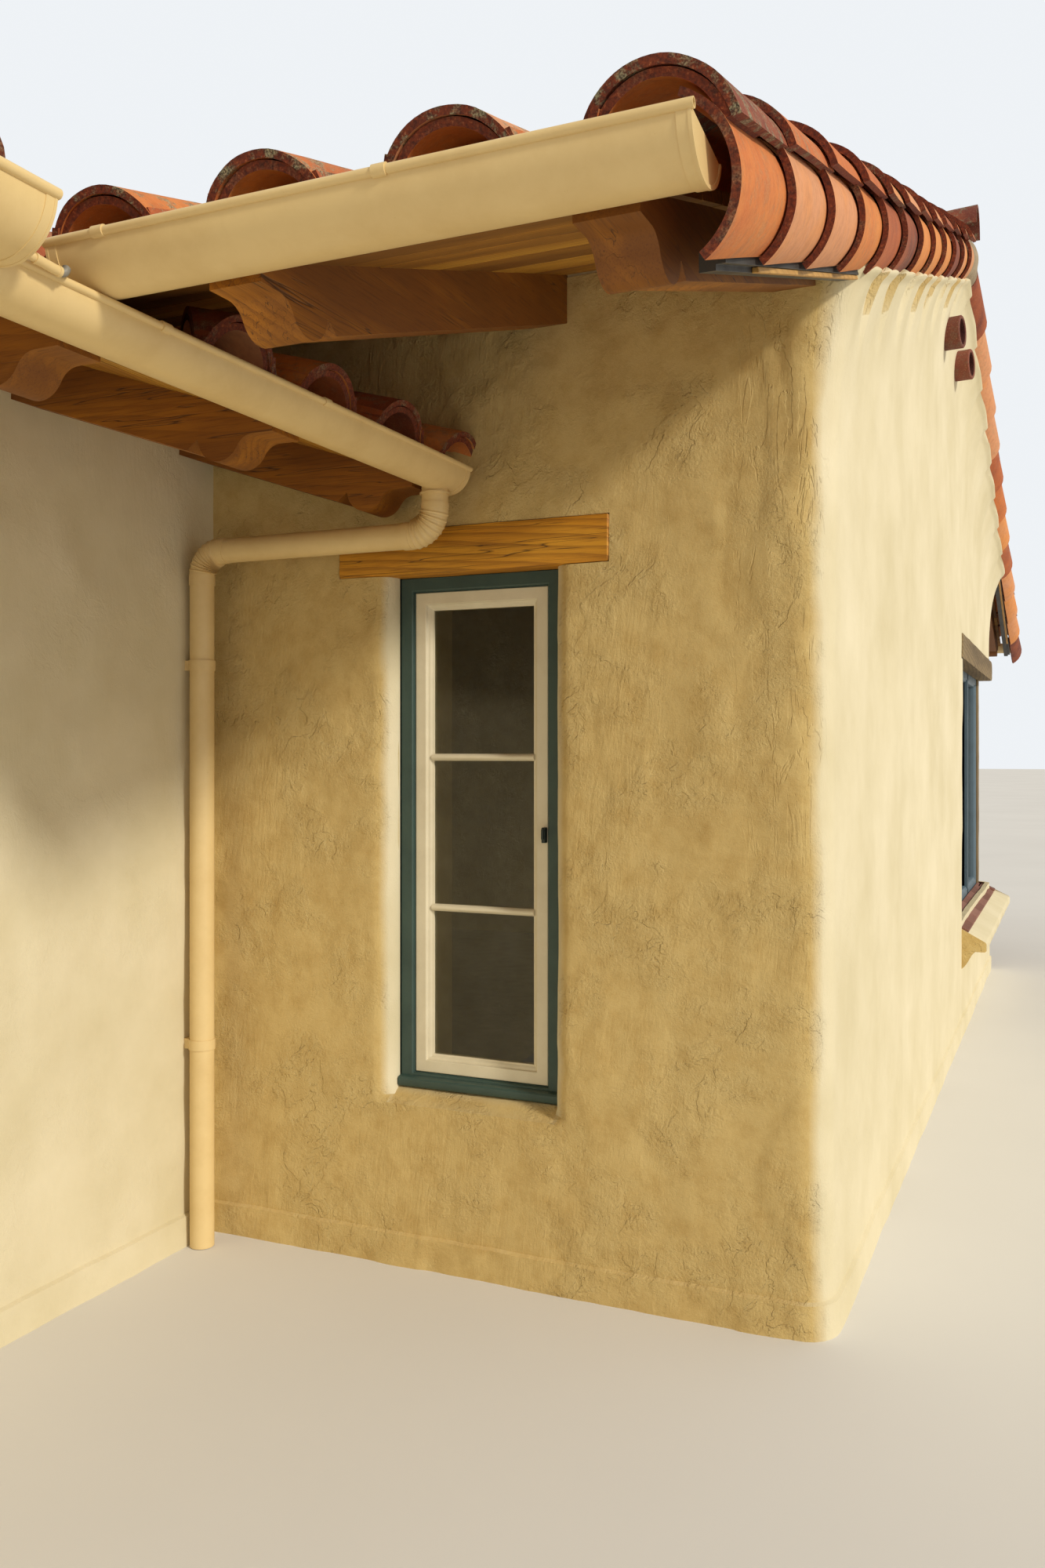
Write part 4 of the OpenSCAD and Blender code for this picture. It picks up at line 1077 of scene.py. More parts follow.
def ridge_caps():
    rng = random.Random(5)
    caps = Form()
    for s in (1, -1):
        start = GABLE_X + CAP_OVER
        cap_run(caps, OVER_X, s * start, start - 0.014, RANGE_RIM, rng, -s, 22 if s > 0 else 14)
    cap_run(caps, OVER_Y, WING_Y - CAP_OVER, LINK_Y - WING_Y + CAP_OVER, OWN_RIM, rng)
    cap_run(caps, OVER_Y, LINK_Y + 0.0005, VALLEY_SUM - LINK_Y - 0.01, LINK_RIM, rng)
    make("ridge_caps", caps, CLAY, ["ridge_tiles"])


def ridge_beds():
    """The mortar under the caps, with slightly uneven sides."""
    bed = Form()
    half = CAP_R
    for put, a0, a1, rim in (
        (OVER_X, -GABLE_X, GABLE_X, RANGE_RIM),
        (OVER_Y, WING_Y, LINK_Y, OWN_RIM),
        (OVER_Y, LINK_Y + 0.0005, VALLEY_SUM - 0.06, LINK_RIM),
    ):
        top = rim - CAP_Z
        rows = []
        for a in fill([a0, a1], 0.03):
            left, right = [half + 0.006 * ripple(a * 9, seed, rim * 3) for seed in (0.0, 7.0)]
            outline = [
                (-left, top - SLOPE * half), (-half / 2, top - SLOPE * half / 2), (0, top),
                (half / 2, top - SLOPE * half / 2), (right, top - SLOPE * half), (right - 0.004, rim - 0.03),
                (half - 0.012, rim), (0.012 - half, rim), (0.004 - left, rim - 0.03),
            ]
            rows.append([put(a, c, z) for c, z in outline])
        bed.tube(rows)
    make("ridge_bedding", bed, MORTAR, ["ridge_mortar"], 60)


def apex_mortar():
    """Mortar that packs the rake tiles' open ends at the top of each gable."""
    packing = Form()
    # Distances from the ridge, with the mortar's radius there
    far = [(0.150, 0.088), (0.121, 0.090), (0.117, 0.111), (0.060, 0.116), (0.015, 0.122)]
    arc = fan(math.radians(-57), math.radians(84), 20)
    for s in (1, -1):
        rows = []
        for y, radius in [(-y, r) for y, r in far] + far[::-1]:
            axis = RANGE_TOP + DECK + SLOPE * (RIDGE_Y - abs(y)) - RAKE_DROP
            r = radius + 0.0015 * math.sin(40 * y + s)
            outline = [(r * c, r * d) for c, d in arc] + [(0.05 * c, 0.05 * d) for c, d in arc[::-1]]
            row = [Vector((s * (GABLE_X + RAKE_AXIS + u), RIDGE_Y + y, axis + v)) for u, v in outline]
            rows.append(row)
        packing.tube(rows)
    make("gable_mortar", packing, MORTAR, (), 50)


# Roof boards as separate planks
PLANK_W = 0.138
PLANK_GAP = 0.0015
PLANK_BEVEL = 0.0025


def plank(form, slope, low, high, starts, ends, rng):
    """A plank between two places up the slope, with its reach along the eave at each of them."""
    under, drop = -DECK * COS, rng.uniform(0.0, 0.0012)
    u0, u1, c = low + PLANK_GAP, high - PLANK_GAP, PLANK_BEVEL
    outline = [(u0, 0.0), (u0, under + c), (u0 + c, under - drop), (u1 - c, under - drop), (u1, under + c),
               (u1, 0.0)]
    rows = []
    for a, b in zip(starts, ends):
        rows.append([slope.at(a + (b - a) * (u - low) / (high - low), u, lift) for u, lift in outline])
    form.tube(rows, (rng.random(), 0.0, 0.0))


def plank_field(form, slope, reaches, rng):
    """Planks up a slope; reaches(depth) gives their reaches at a depth in from the wall's face."""
    low, high = -slope.eave / COS, slope.run / COS
    count = round((high - low) / PLANK_W)
    step = (high - low) / count
    for i in range(count):
        u0, u1 = low + i * step, low + (i + 1) * step
        for (a0, b0), (a1, b1) in zip(reaches(u0 * COS), reaches(u1 * COS)):
            if max(b0 - a0, b1 - a1) > 0.02:
                plank(form, slope, u0, u1, (a0, max(a0, b0)), (a1, max(a1, b1)), rng)


def planks():
    """Planks along the eaves, cut to the valleys, with narrow bevelled joints."""
    rng = random.Random(3)
    valley = lambda y: max(0.0, VALLEY_SUM - y)
    link_end = lambda d: min(VALLEY_SUM - (WING_X - d), 0.0 if d < 0 else 9.0)
    under = lambda d: [(VALLEY_SUM - (WING_X - d), -0.002)] if d < 0.84 else [(0.0, 0.0)]
    front, rear, wing = Form(), Form(), Form()
    plank_field(front, FRONT, lambda y: [(valley(y), GABLE_X), (-GABLE_X, -valley(y))], rng)
    make("front_planks", front, BOARD_WOOD["x"], ["front_boards"])
    plank_field(rear, REAR, lambda y: [(-GABLE_X, GABLE_X)], rng)
    make("rear_planks", rear, BOARD_WOOD["x"], ["rear_boards"])
    for slopes, reaches in (
        (LINKS, lambda d: [(LINK_Y + SEAT, link_end(d))]),
        (LINKS, under),
        (OWNS, lambda d: [(WING_Y, LINK_Y)]),
    ):
        for slope in slopes:
            plank_field(wing, slope, reaches, rng)
    make("wing_planks", wing, BOARD_WOOD["y"], ["wing_boards"])


# Gutters: the thickness of their sheet, their seams and the ends of their runs
SHEET = 0.0022
SEAM = 0.021
END_RIM = 0.004
GUTTER_OVER = 0.064
HANGER_END = 0.025
LINK_STOP = -0.075
HANGER_HALF = 0.012
STRAP_HALF = 0.011


def gutter(form, slope, radius, axis_z, a0, a1, hangers, bead=BEAD_R):
    """A half-round gutter with a rolled bead open at its ends, end caps with thin rims, and hangers over the
    bead."""
    out = slope.eave + radius + SEAT
    put = lambda a, u, v: slope.level(a, out + u, axis_z + v)
    back = math.asin(0.020 / radius)
    half_round = fan(math.pi + back, math.tau, 30)

    def arc(r):
        return [(r * c, r * d) for c, d in half_round]

    def sheet(r_out, r_in, b0, b1, cuts=1):
        form.prism(arc(r_out) + arc(r_in)[::-1], put, b0, b1, cuts=cuts)

    def bead_tube(r_out, r_in, b0, b1):
        rows = [(b0, r_out), (b1, r_out), (b1, r_in), (b0, r_in), (b0, r_out)]
        form.grid([[put(b, radius + r * c, r * d) for c, d in circle(18)] for b, r in rows], True)

    sheet(radius, radius - SHEET, a0, a1, 6)
    bead_tube(bead, bead - 0.002, a0 - 0.005, a1 + 0.005)
    for end, way in ((a0, 1), (a1, -1)):
        sheet(radius + 0.0016, radius - 0.0005, end, end + way * SEAM)
        sheet(radius + 0.0024, radius - 0.004, end - way * 0.0015, end + way * END_RIM)
        form.prism(arc(radius - 0.003), put, end + way * 0.0005, end + way * 0.003)
    strap = [(0.002 - radius, -0.021), (0.002 - radius, -0.018), (0.0, -0.001), (radius, 0.002),
             (radius, -0.001), (0.0, -0.004)]
    for h in hangers:
        bead_tube(bead + 0.0026, bead - 0.001, h - HANGER_HALF, h + HANGER_HALF)
        form.prism(strap, put, h - STRAP_HALF, h + STRAP_HALF)


def gutter_height(top, eave, lift):
    return top + DECK - SLOPE * eave - BEAD_R + lift


def hanger_places(first, last, step=HANGER_STEP):
    places = []
    while (last - first) * step > 0:
        places.append(first)
        first += step
    return places


def gutters():
    main_z = gutter_height(RANGE_TOP, RANGE_EAVE, GUTTER_LIFT)
    inner = WING_X + LINK_EAVE + LINK_GUTTER_R - 0.0027
    outer = RANGE_END + GUTTER_OVER
    form = Form()
    right = hanger_places(inner + HANGER_FIRST, outer - HANGER_END)
    gutter(form, FRONT, GUTTER_R, main_z, inner, outer, right)
    gutter(form, FRONT, GUTTER_R, main_z, -outer, -inner, [-h for h in right])
    make("front_gutter_runs", form, GUTTER_PAINT, ["front_gutters"])
    form = Form()
    hangers = hanger_places(HANGER_FIRST - outer, outer - HANGER_END)
    gutter(form, REAR, GUTTER_R, main_z, -outer, outer, hangers)
    make("rear_gutter_run", form, GUTTER_PAINT, ["rear_gutter"])
    form = Form()
    z = gutter_height(LINK_TOP, LINK_EAVE, LINK_GUTTER_LIFT)
    hangers = hanger_places(LINK_STOP - LINK_HANGER_FIRST, LINK_Y, -HANGER_STEP)
    for slope in LINKS:
        gutter(form, slope, LINK_GUTTER_R, z, LINK_Y - 0.020, LINK_STOP, hangers, 0.0075)
    make("link_gutter_runs", form, GUTTER_PAINT, ["link_gutters"])
    form = Form()
    start, end = WING_Y - RAKE_OUT - GUTTER_OVER, LINK_Y - 0.024
    z = gutter_height(OWN_TOP, WING_EAVE, WING_GUTTER_LIFT)
    hangers = hanger_places(start + HANGER_FIRST, end - HANGER_END)
    for slope in OWNS:
        gutter(form, slope, WING_GUTTER_R, z, start, end, hangers, 0.009)
    make("wing_gutter_runs", form, GUTTER_PAINT, ["wing_gutters"])


# Pipes: the bend of the downspout's elbows, its place in the inside corner and its straps
BEND = 0.070
DOWN_X = WING_X + 0.060
DOWN_Y = -0.130
FIT_R = PIPE_R + 0.0012
CRIMPS = 9
STRAP_ZS = (0.600, 1.750)
STRAP_H = 0.030
STRAP_W = 0.019


def sweep(form, path, segs=28):
    """A round pipe through (centre, direction, radius, crimp) stations. A crimp is the way to the inside of
    the bend and how far the pipe stands out more there."""
    rows = []
    for centre, way, radius, crimp in path:
        side = Vector((0, 1, 0)) if abs(way.y) < 0.9 else Vector((1, 0, 0))
        across = way.cross(side).normalized()
        side = across.cross(way).normalized()
        row = []
        for c, d in circle(segs):
            spoke = across * c + side * d
            r = radius + (crimp[1] * max(0.0, spoke.dot(crimp[0])) if crimp else 0.0)
            row.append(centre + spoke * r)
        rows.append(row)
    form.tube(rows)


def pipe(form, a, b, way, radius, segs=28):
    sweep(form, [(a, way, radius, None), (b, way, radius, None)], segs)


def elbow(form, centre, start_way, end_way):
    """A crimped elbow from start_way to end_way about a centre: a sharp fold at each crimp, deepest on the
    inside of the bend."""
    path = []
    steps = CRIMPS * 8
    for i in range(steps + 1):
        t = i / steps
        a = math.pi / 2 * t
        way = start_way * math.cos(a) + end_way * math.sin(a)
        inward = end_way * math.cos(a) - start_way * math.sin(a)
        phase = t * CRIMPS
        fold = abs(phase - round(phase)) * 2
        crest = max(0.0, 1 - fold * 1.7)
        fade = min(1.0, t * 8, (1 - t) * 8)
        swell = 0.0036 * crest - 0.0012 * math.sin(math.pi * (1 - fold) / 2)
        path.append((centre - inward * BEND, way, PIPE_R + swell * fade, (inward, 0.007 * crest * fade)))
    sweep(form, path)


def downspouts():
    """Outlet, elbow, cross run, elbow and drop in each inside corner, with joint collars and straps."""
    form = Form()
    x = WING_X + LINK_EAVE + LINK_GUTTER_R + SEAT - OUTLET_IN
    outlet = gutter_height(LINK_TOP, LINK_EAVE, LINK_GUTTER_LIFT) - LINK_GUTTER_R
    run = outlet - OUTLET_DROP
    for s in (1, -1):
        down, inward = Vector((0, 0, -1)), Vector((-s, 0, 0))
        place = lambda px, pz: Vector((s * px, DOWN_Y, pz))
        for z0, z1, radius in (
            (outlet + 0.012, run + BEND + 0.006, PIPE_R - 0.001),
            (outlet - 0.004, outlet - 0.009, PIPE_R + 0.0045),
            (run + BEND + 0.016, run + BEND - 0.001, FIT_R),
        ):
            pipe(form, place(x, z0), place(x, z1), down, radius)
        elbow(form, place(x - BEND, run + BEND), down, inward)
        for x0, x1, radius in (
            (x - BEND + 0.001, x - BEND - 0.026, FIT_R),
            (x - BEND, DOWN_X + BEND, PIPE_R - 0.0012),
            (DOWN_X + BEND + 0.026, DOWN_X + BEND - 0.001, FIT_R),
        ):
            pipe(form, place(x0, run), place(x1, run), inward, radius)
        elbow(form, place(DOWN_X + BEND, run - BEND), inward, down)
        for z0, z1, radius in (
            (run - BEND + 0.001, run - BEND - 0.030, FIT_R),
            (run - BEND, 0.002, PIPE_R - 0.0012),
            *((z + STRAP_H, z, PIPE_R + 0.002) for z in STRAP_ZS),
        ):
            pipe(form, place(DOWN_X, z0), place(DOWN_X, z1), down, radius)
        for z in STRAP_ZS:
            low, high = (WING_X + 0.004, DOWN_Y - STRAP_W, z), (DOWN_X, DOWN_Y + STRAP_W, z + STRAP_H)
            form.block(low, high, lambda px, py, pz: Vector((s * px, py, pz)))
    make("downspout_runs", form, GUTTER_PAINT, ["downspouts"], 24)


def thin_pipes():
    """The thin pipe from the wing's gutter with its collars, and the flexible end that turns up from it."""
    runs, ends = Form(), Form()
    low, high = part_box("link_pipes")
    x = high.x - 0.010
    along = Vector((0, 1, 0))
    reach, curl, fall = 0.104, 0.030, 0.07
    for s in (1, -1):
        def place(a):
            return Vector((s * x, low.y + a, (low.z + high.z) / 2 - fall * (a - 0.04)))
        for a, b, radius in (
            (0.0, reach, 0.0070), (0.0, 0.012, 0.0095), (0.050, 0.055, 0.0092), (0.055, reach, 0.0084),
            (0.100, 0.106, 0.0094),
        ):
            pipe(runs, place(a), place(b), along, radius, 20)
        path = []
        for i in range(25):
            t = i / 24
            turn = 1.15 * t
            bend = Vector((-s * 0.010 * t, curl * math.sin(turn), curl * (1 - math.cos(turn))))
            way = Vector((0, math.cos(turn), math.sin(turn)))
            path.append((place(reach) + bend, way, 0.0064 + 0.0010 * (i % 2), None))
        sweep(ends, path, 16)
    make("link_pipe_runs", runs, GUTTER_PAINT, ["link_pipes"])
    make("link_pipe_ends", ends, PIPE_METAL)


# Windows, lintels and the entrance
def wall_frame(x, y, turn):
    """Puts (u along the wall, depth inward, z) at a point on a wall's face; no turn faces the front."""
    a = math.radians(turn)
    along = Vector((math.cos(a), math.sin(a), 0))
    inward = Vector((-math.sin(a), math.cos(a), 0))
    origin = Vector((x, y, 0))
    return lambda u, depth, z: origin + along * u + inward * depth + Vector((0, 0, z))


def ring(form, put, rect, profile):
    """A frame with mitred corners: profile holds (inset from the rectangle, depth) points of an outline."""
    u0, u1, z0, z1 = rect
    rows = []
    for inset, depth in profile + profile[:1]:
        low, high = z0 + inset, z1 - inset
        left, right = u0 + inset, u1 - inset
        rows.append([put(u, depth, z) for u, z in ((left, low), (right, low), (right, high), (left, high))])
    form.grid(rows, True)


WINDOWS = [(side * FRONT_WINDOW_X, 0.0, 0) for side in (1, -1)]
WINDOWS += [(side * WING_X, WING_WINDOW_Y, side * 90) for side in (1, -1)]
WINDOWS += [(side * REAR_WINDOW_X, REAR_Y, 180) for side in (1, -1)]
FRAME_PROFILE = [
    (0.0, 0.140), (0.0, 0.066), (0.002, 0.064), (0.038, 0.064), (0.041, 0.067), (0.041, 0.076),
    (0.0435, 0.078), (0.0435, 0.140),
]
SASH_PROFILE = [
    (0.0, 0.116), (0.0, 0.077), (0.002, 0.075), (0.034, 0.075), (0.036, 0.077), (0.036, 0.082),
    (0.038, 0.084), (0.043, 0.086), (0.047, 0.092), (0.052, 0.094), (0.052, 0.116),
]
NOSE_PROFILE = [(0.046, 0.004), (0.042, 0.010), (0.042, 0.026), (0.046, 0.031), (0.070, 0.036),
                (0.090, 0.038), (0.090, 0.004)]
SASH_IN = 0.0445
RAIL_W = 0.052
BAR_W = 0.021
BAR_PROFILE = [(0.084, -0.005), (0.082, -0.002), (0.082, 0.002), (0.084, 0.005), (0.094, BAR_W / 2),
               (0.114, BAR_W / 2), (0.114, -BAR_W / 2), (0.094, -BAR_W / 2)]
LITES = 3
PANE_IN = 0.006
LATCH_UP = 0.760
LATCH_IN = 0.008


def casements():
    """Frames, sashes with their bars, panes and latches of the six casement windows."""
    frames, sashes, panes, latches = Form(), Form(), Form(), Form()
    half = WINDOW_W / 2
    s_half, s_low, s_high = half - SASH_IN, SILL_Z + SASH_IN, HEAD_Z - SASH_IN
    lite_w = s_half - RAIL_W
    lite_h = (s_high - s_low - 2 * RAIL_W - (LITES - 1) * BAR_W) / LITES
    for x, y, turn in WINDOWS:
        put = wall_frame(x, y, turn)
        ring(frames, put, (-half, half, SILL_Z, HEAD_Z), FRAME_PROFILE)
        nose = [(d, SILL_Z + up) for d, up in NOSE_PROFILE]
        frames.prism(nose, put, 0.0015 - half, half - 0.0015)
        ring(sashes, put, (-s_half, s_half, s_low, s_high), SASH_PROFILE)
        for i in range(LITES):
            z0 = s_low + RAIL_W + i * (lite_h + BAR_W)
            if i:
                bar = [(d, z0 - BAR_W / 2 + up) for d, up in BAR_PROFILE]
                sashes.prism(bar, put, -lite_w - 0.004, lite_w + 0.004)
            low = (-lite_w - PANE_IN, 0.100, z0 - PANE_IN)
            panes.block(low, (lite_w + PANE_IN, 0.104, z0 + lite_h + PANE_IN), put)
        lx, lz = s_half - LATCH_IN, SILL_Z + LATCH_UP
        latches.block((lx - 0.006, 0.058, lz - 0.022), (lx + 0.006, 0.076, lz + 0.022), put)
        latches.block((lx - 0.004, 0.050, lz - 0.012), (lx + 0.004, 0.060, lz + 0.018), put)
    make("casement_frames", frames, FRAME_PAINT, ["window_frames"], bevel=0.0012)
    make("casement_sashes", sashes, SASH_PAINT, ["window_sashes"], bevel=0.0008)
    make("casement_panes", panes, GLASS, ["window_glass"])
    make("casement_latches", latches, LATCH_PAINT, bevel=0.002)


def hewn(form, put, us, ds, zs, seed, step=0.022):
    """A hewn beam between two places each along it, in depth and in height: a box with slightly uneven faces
    and worn arrises."""
    worn = 0.005
    (u0, u1), (d0, d1), (z0, z1) = us, ds, zs
    outline = []
    edges = [(d0, z0), (d1, z0), (d1, z1), (d0, z1)]
    for (da, za), (db, zb) in zip(edges, edges[1:] + edges[:1]):
        cuts = max(2, round(math.hypot(db - da, zb - za) / 0.02))
        outline += [(da + (db - da) * i / cuts, za + (zb - za) * i / cuts) for i in range(cuts)]
    centre = Vector(((d0 + d1) / 2, (z0 + z1) / 2))
    rows = []
    for u in fill([u0, u0 + worn, u1 - worn, u1], step):
        row = []
        pinch = worn * max(0.0, 1 - min(u - u0, u1 - u) / worn)
        for d, z in outline:
            bump = 0.0022 * ripple(u * 5 + seed, d * 14, z * 14)
            bump += 0.0012 * ripple(u * 16 + seed, d * 40, z * 40)
            corner = min(abs(d - d0), abs(d - d1)) + min(abs(z - z0), abs(z - z1))
            pull = pinch + 0.0035 * max(0.0, 1 - corner / 0.004) - bump
            away = (Vector((d, z)) - centre).normalized()
            row.append(put(u, d - away.x * pull, z - away.y * pull))
        rows.append(row)
    form.tube(rows)


# Lintels: how proud of the wall they stand, how deep they reach and how they clear their pockets
LINTEL_PROUD = 0.012
LINTEL_DEPTH = 0.150


def lintels():
    half = WINDOW_W / 2 + LINTEL_REACH - SEAT
    door = DOOR_HALF + LINTEL_REACH
    depths = (-LINTEL_PROUD, LINTEL_DEPTH)
    by_x, by_y = Form(), Form()
    for n, (x, y, turn) in enumerate(WINDOWS):
        form = by_y if abs(turn) == 90 else by_x
        hewn(form, wall_frame(x, y, turn), (-half, half), depths, (HEAD_Z, HEAD_Z + LINTEL_H), n * 7.3)
    hewn(by_x, wall_frame(0, WING_Y, 0), (-door, door), depths, (DOOR_HEAD, DOOR_HEAD + LINTEL_H), 60.0)
    make("lintel_beams_x", by_x, LINTEL_WOOD["x"], ["lintels"], 40)
    make("lintel_beams_y", by_y, LINTEL_WOOD["y"], (), 40)


POST_IN = 0.060
POST_T = 0.140
CORNER_BAR = 0.055
CORNER_PROUD = 0.020
CORNER_PROFILE = [
    (0.0, REVEAL + 0.070), (0.0, REVEAL), (CORNER_BAR - 0.018, REVEAL), (CORNER_BAR - 0.014, REVEAL + 0.006),
    (CORNER_BAR - 0.004, REVEAL + 0.010), (CORNER_BAR, REVEAL + 0.018), (CORNER_BAR, REVEAL + 0.070),
]


def corner_lights(frames, panes, put, sign, length, lights):
    """The row of lights along one wall of a corner window; sign says which way it runs from put's origin."""
    place = lambda u, d, z: put(sign * u, d, z)
    step = (length - POST_IN - POST_T - SEAT - CORNER_BAR) / lights
    inset = CORNER_BAR - PANE_IN
    for i in range(lights):
        u0, u1 = i * step, (i + 1) * step + CORNER_BAR
        ring(frames, place, (u0, u1, CORNER_SILL, CORNER_HEAD), CORNER_PROFILE)
        low = (u0 + inset, REVEAL + 0.032, CORNER_SILL + inset)
        panes.block(low, (u1 - inset, REVEAL + 0.038, CORNER_HEAD - inset), place)


def corner_windows():
    """The window round each rear corner: frames, panes, post, wrapped lintel, corbelled sill and strip."""
    frames, panes, posts, beams_y, beams_x, sills, strips = (Form() for _ in range(7))
    side_y, back_x = REAR_Y - CORNER_SIDE, GABLE_X - CORNER_BACK
    px, py = GABLE_X - POST_IN, REAR_Y - POST_IN
    reach = CORNER_REACH - SEAT
    beam_zs = (CORNER_HEAD, CORNER_HEAD + LINTEL_H)
    for s in (1, -1):
        corner_lights(frames, panes, wall_frame(s * GABLE_X, side_y, 90 * s), s, CORNER_SIDE, 3)
        corner_lights(frames, panes, wall_frame(s * back_x, REAR_Y, 180), -s, CORNER_BACK, 2)
        hewn(posts, lambda u, d, z: Vector((s * d, z, u)), (CORNER_SILL - 0.01, CORNER_HEAD + 0.002),
             (px - POST_T, px), (py - POST_T, py), 31.0 + s)
        hewn(beams_y, lambda u, d, z: Vector((s * d, u, z)), (side_y - reach, REAR_Y + CORNER_PROUD),
             (GABLE_X - LINTEL_DEPTH, GABLE_X + CORNER_PROUD), beam_zs, 41.0 + s, 0.03)
        hewn(beams_x, lambda u, d, z: Vector((s * u, d, z)), (back_x - reach, GABLE_X - LINTEL_DEPTH + 0.001),
             (REAR_Y - LINTEL_DEPTH, REAR_Y + CORNER_PROUD - 0.001), beam_zs, 47.0 + s, 0.03)
        sill_runs(sills, s)
        sill_strip(strips, s)
    make("corner_window_frames", frames, CORNER_PAINT, ["corner_frames"], bevel=0.001)
    make("corner_window_panes", panes, GLASS, ["corner_glass"])
    make("corner_window_posts", posts, WEATHERED_WOOD["z"], ["corner_posts"], 40)
    make("corner_beams_y", beams_y, WEATHERED_WOOD["y"], ["corner_lintels"], 40)
    make("corner_beams_x", beams_x, LINTEL_WOOD["x"], (), 40)
    make("corner_sill_shelves", sills, STUCCO, ["corner_sills"], 45)
    make("corner_sill_strips", strips, SILL_CLAY, ["sill_tiles"], bevel=0.0015)


def sill_height(out):
    return CORNER_SILL - SHELF_FALL * (out + REVEAL) / (SHELF_OUT + REVEAL)


def uneven(out, a, z):
    """How far the shelf's skin wanders; its stretch inside the wall is straight."""
    return 0.0025 * ripple(a * 7, z * 9, out * 9) if out > -0.02 else 0.0


def sill_runs(form, s):
    """The sloping shelf and its foot round a corner: a profile of (out, z) mitred at the corner."""
    low = CORNER_SILL - SHELF_FALL - SHELF_T
    root, back = 0.50, -0.30
    inner, lip = 0.01 - REVEAL, SHELF_OUT - 0.006
    profile = [
        (back, root), (back, CORNER_SILL), (-REVEAL, CORNER_SILL), (inner, sill_height(inner)),
        (lip, sill_height(lip)), (SHELF_OUT, low + SHELF_T - 0.006), (SHELF_OUT, low + 0.008),
        (SHELF_OUT - 0.008, low), (SHELF_OUT / 2 + 0.008, low), (SHELF_OUT / 2, low - 0.008),
    ]
    for i in range(1, 6):
        profile.append((SHELF_OUT / 2 * (1 - i / 5) ** 0.7, low - 2 * SHELF_T * i / 5))
    profile.append((-0.02, root))
    rows = []
    for y in fill([REAR_Y - CORNER_SIDE, REAR_Y], 0.04)[:-1]:
        rows.append([Vector((s * (GABLE_X + o + uneven(o, y, z)), y, z)) for o, z in profile])
    rows.append([Vector((s * (GABLE_X + o), REAR_Y + o, z)) for o, z in profile])
    for x in fill([GABLE_X - CORNER_BACK, GABLE_X], 0.04)[-2::-1]:
        rows.append([Vector((s * x, REAR_Y + o + uneven(o, x, z), z)) for o, z in profile])
    form.tube(rows)


def sill_strip(form, s):
    """The strip of brown tiles on the shelf, with one square tile on the corner."""
    u0, u1, thick = 0.005 - REVEAL, 0.039, 0.012
    tile, joint, corner_in = 0.300, 0.006, 0.08
    outline = [(u0, sill_height(u0)), (u1, sill_height(u1)), (u1, sill_height(u1) + thick),
               (u0, sill_height(u0) + thick)]
    for put, corner, length, count, first in (
        (lambda a, o, z: Vector((s * (GABLE_X + o), a, z)), REAR_Y, CORNER_SIDE, 7, 0),
        (lambda a, o, z: Vector((s * a, REAR_Y + o, z)), GABLE_X, CORNER_BACK, 4, 9),
    ):
        for i in range(count):
            start = corner - length + 0.004 + i * tile
            share = (0.37 * (first + i) + 0.2) % 1.0
            form.prism(outline, put, start, min(start + tile - joint, corner - corner_in), (share, 0.0, 0.2))
    square = [(u0, u0), (u1, u0), (u1, u1), (u0, u1)]
    low = [Vector((s * (GABLE_X + a), REAR_Y + b, sill_height(max(a, b)))) for a, b in square]
    form.tube([low, [p + Vector((0, 0, thick)) for p in low]])


# Vents: their turn from the wall, how far they stand out and reach in, and their wall
VENT_TURN = math.radians(8)
VENT_OUT = 0.100
VENT_IN = -0.30
VENT_WALL = 0.015


def vents():
    """Two clay pipes in each gable, open at both ends, with painted shade on their bores."""
    form = Form()
    profile = [(-0.02, 0.0), (VENT_OUT - 0.02, 0.0005), (VENT_OUT - 0.004, 0.001), (VENT_OUT, -0.003),
               (VENT_OUT, -0.012), (VENT_OUT - 0.003, -VENT_WALL), (VENT_IN, -VENT_WALL), (VENT_IN, 0.0)]
    sin, cos = math.sin(VENT_TURN), math.cos(VENT_TURN)
    for s in (1, -1):
        for side in (-1, 1):
            y = RIDGE_Y + side * VENT_APART
            rows = []
            for out, more in profile + profile[:1]:
                row = []
                for u, v in [((VENT_R + more) * c, (VENT_R + more) * d) for c, d in circle(40)]:
                    x = GABLE_X + out * cos + u * sin
                    row.append(Vector((s * x, y + u * cos - out * sin, VENT_Z + v)))
                rows.append(row)
            form.grid(rows[:6], True, (0.6 if side > 0 else 0.3, 0.0, 0.25))
            # Painted shade: the bore and back end take the dark end tones, for the shade inside the pipe
            form.grid(rows[5:], True, (0.0, 1.0, 0.0))
    make("vent_pipes", form, VENT_CLAY, ["gable_vents"], 40)


# A band under the rake tiles of the overhangs, its dark upper part painted shade and the pale strip in its
# fold painted light; out from the gable and down from its top
BAND_Z = 2.724
BAND_IN = 0.032
BAND_LIP = 0.060
BAND_END = -1.285
STRIP_END = -1.05


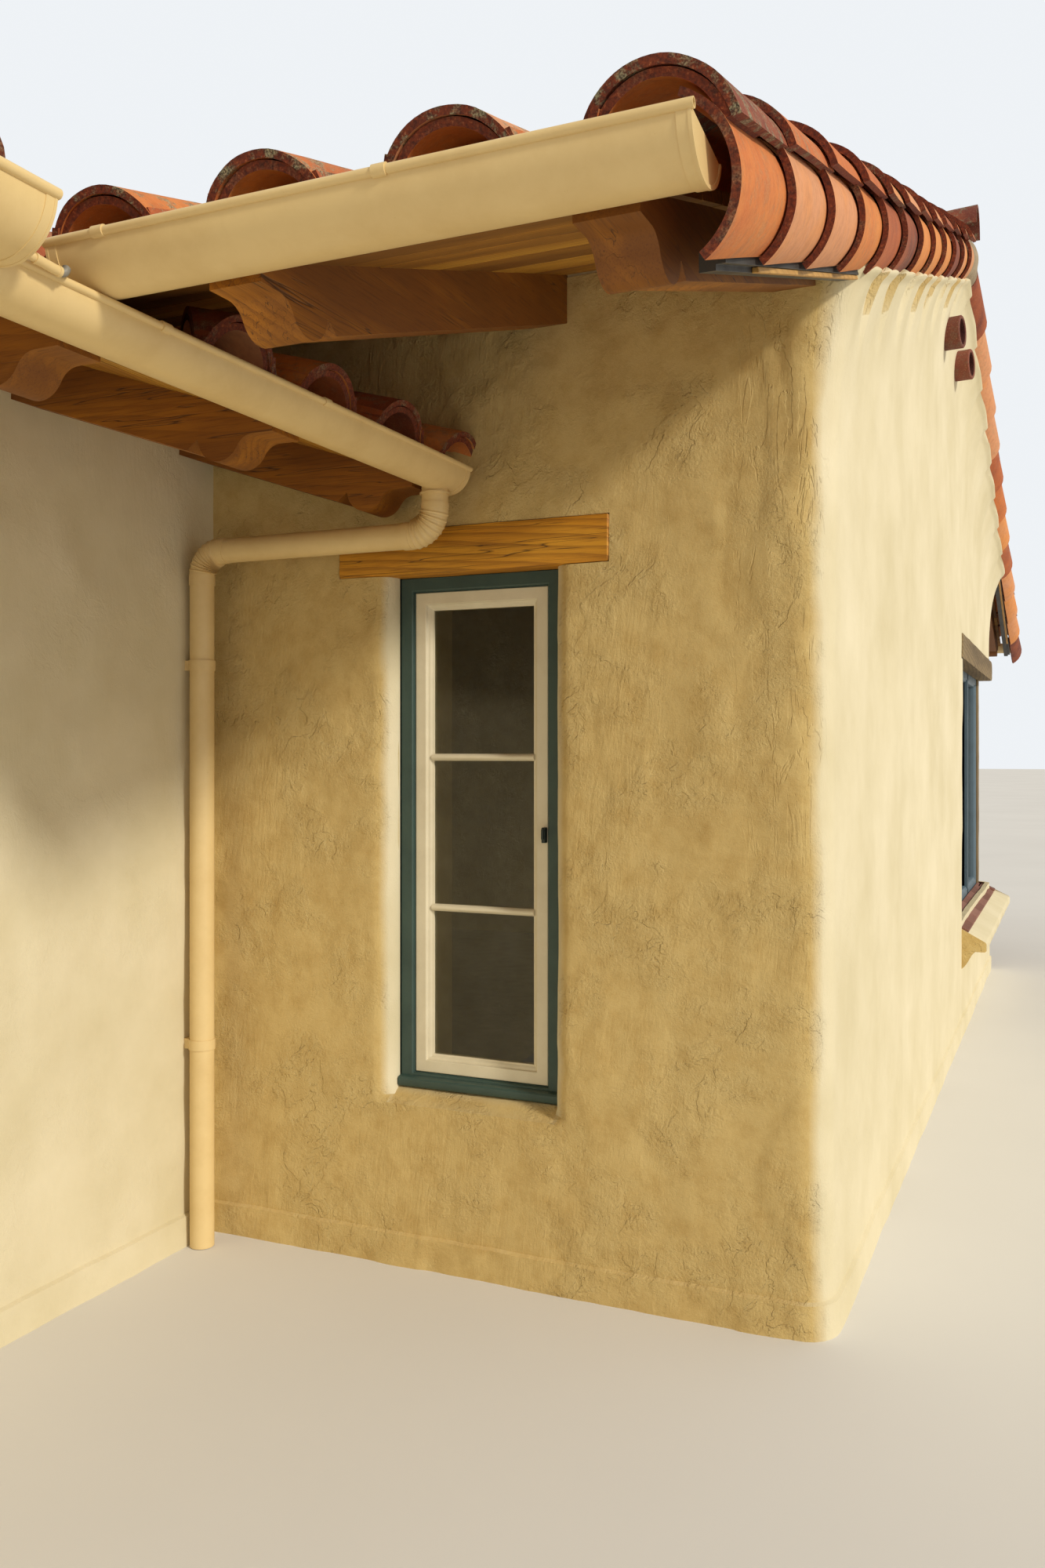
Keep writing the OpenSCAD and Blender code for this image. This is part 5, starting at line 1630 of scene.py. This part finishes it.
def rake_band_painted_shade():
    """The band under the rake tiles of the overhangs, dark as painted shade, and the pale wood strip in its
    fold, pale as painted light: one face shaded above and lit below.
    """
    painted_shade_part, wood = Form(), Form()
    step = BAND_Z - 0.024
    x0, lip = GABLE_X + BAND_IN, GABLE_X + BAND_LIP
    band = [(x0, BAND_Z), (GABLE_X + 0.074, BAND_Z), (GABLE_X + 0.076, step), (lip, step),
            (lip, step - 0.010), (x0, step - 0.010)]
    strip = [(lip + SEAT, step - SEAT), (GABLE_X + 0.072, step - SEAT), (GABLE_X + 0.073, step - 0.011),
             (lip + SEAT, step - 0.011)]
    for slope in (FRONT, REAR):
        for s in (1, -1):
            put = lambda a, x, z: slope.level(s * x, -a, z + SLOPE * a)
            painted_shade_part.prism(band, put, BAND_END, 0.02)
            wood.prism(strip, put, STRIP_END, 0.02)
    # Painted shade and light: the dark band and the pale strip are the shaded top and the lit foot of one
    # face
    make("rake_band_with_painted_shade", painted_shade_part, PAINTED_SHADE_BAND, (), bevel=0.0008)
    make("rake_strips_painted_light", wood, PAINTED_LIGHT_STRIP_WOOD, (), bevel=0.0015)


def carried_over():
    """Materials of the CAD nodes that show as they are."""
    dress(PLASTER, "front_wall_right", "front_wall_left", "gable_wall_right", "gable_wall_left", "rear_wall",
          "wing_wall_right", "wing_wall_left", "wing_front_wall")
    dress(SLAB, "floor_slab")
    dress(RAFTER_WOOD["y"], "front_rafters", "rear_rafters", bevel=0.003)
    dress(RAFTER_WOOD["x"], "link_rafters", "wing_rafters", "header_beam", "ridge_beams", bevel=0.003)
    dress(DOOR_WOOD, "entry_door", bevel=0.0015)
    dress(FRAME_PAINT, "entry_frame", bevel=0.0015)


camera()
studio()
carried_over()
for side_name, mirrored in (("right", False), ("left", True)):
    range_coat(side_name, mirrored)
    wing_coat(side_name, mirrored)
for build in (
    roof_tiles, rakes, ridge_caps, ridge_beds, apex_mortar, planks, gutters, downspouts, thin_pipes,
    casements, lintels, corner_windows, vents, rake_band_painted_shade,
):
    build()
bpy.context.scene.view_settings.view_transform = "Standard"
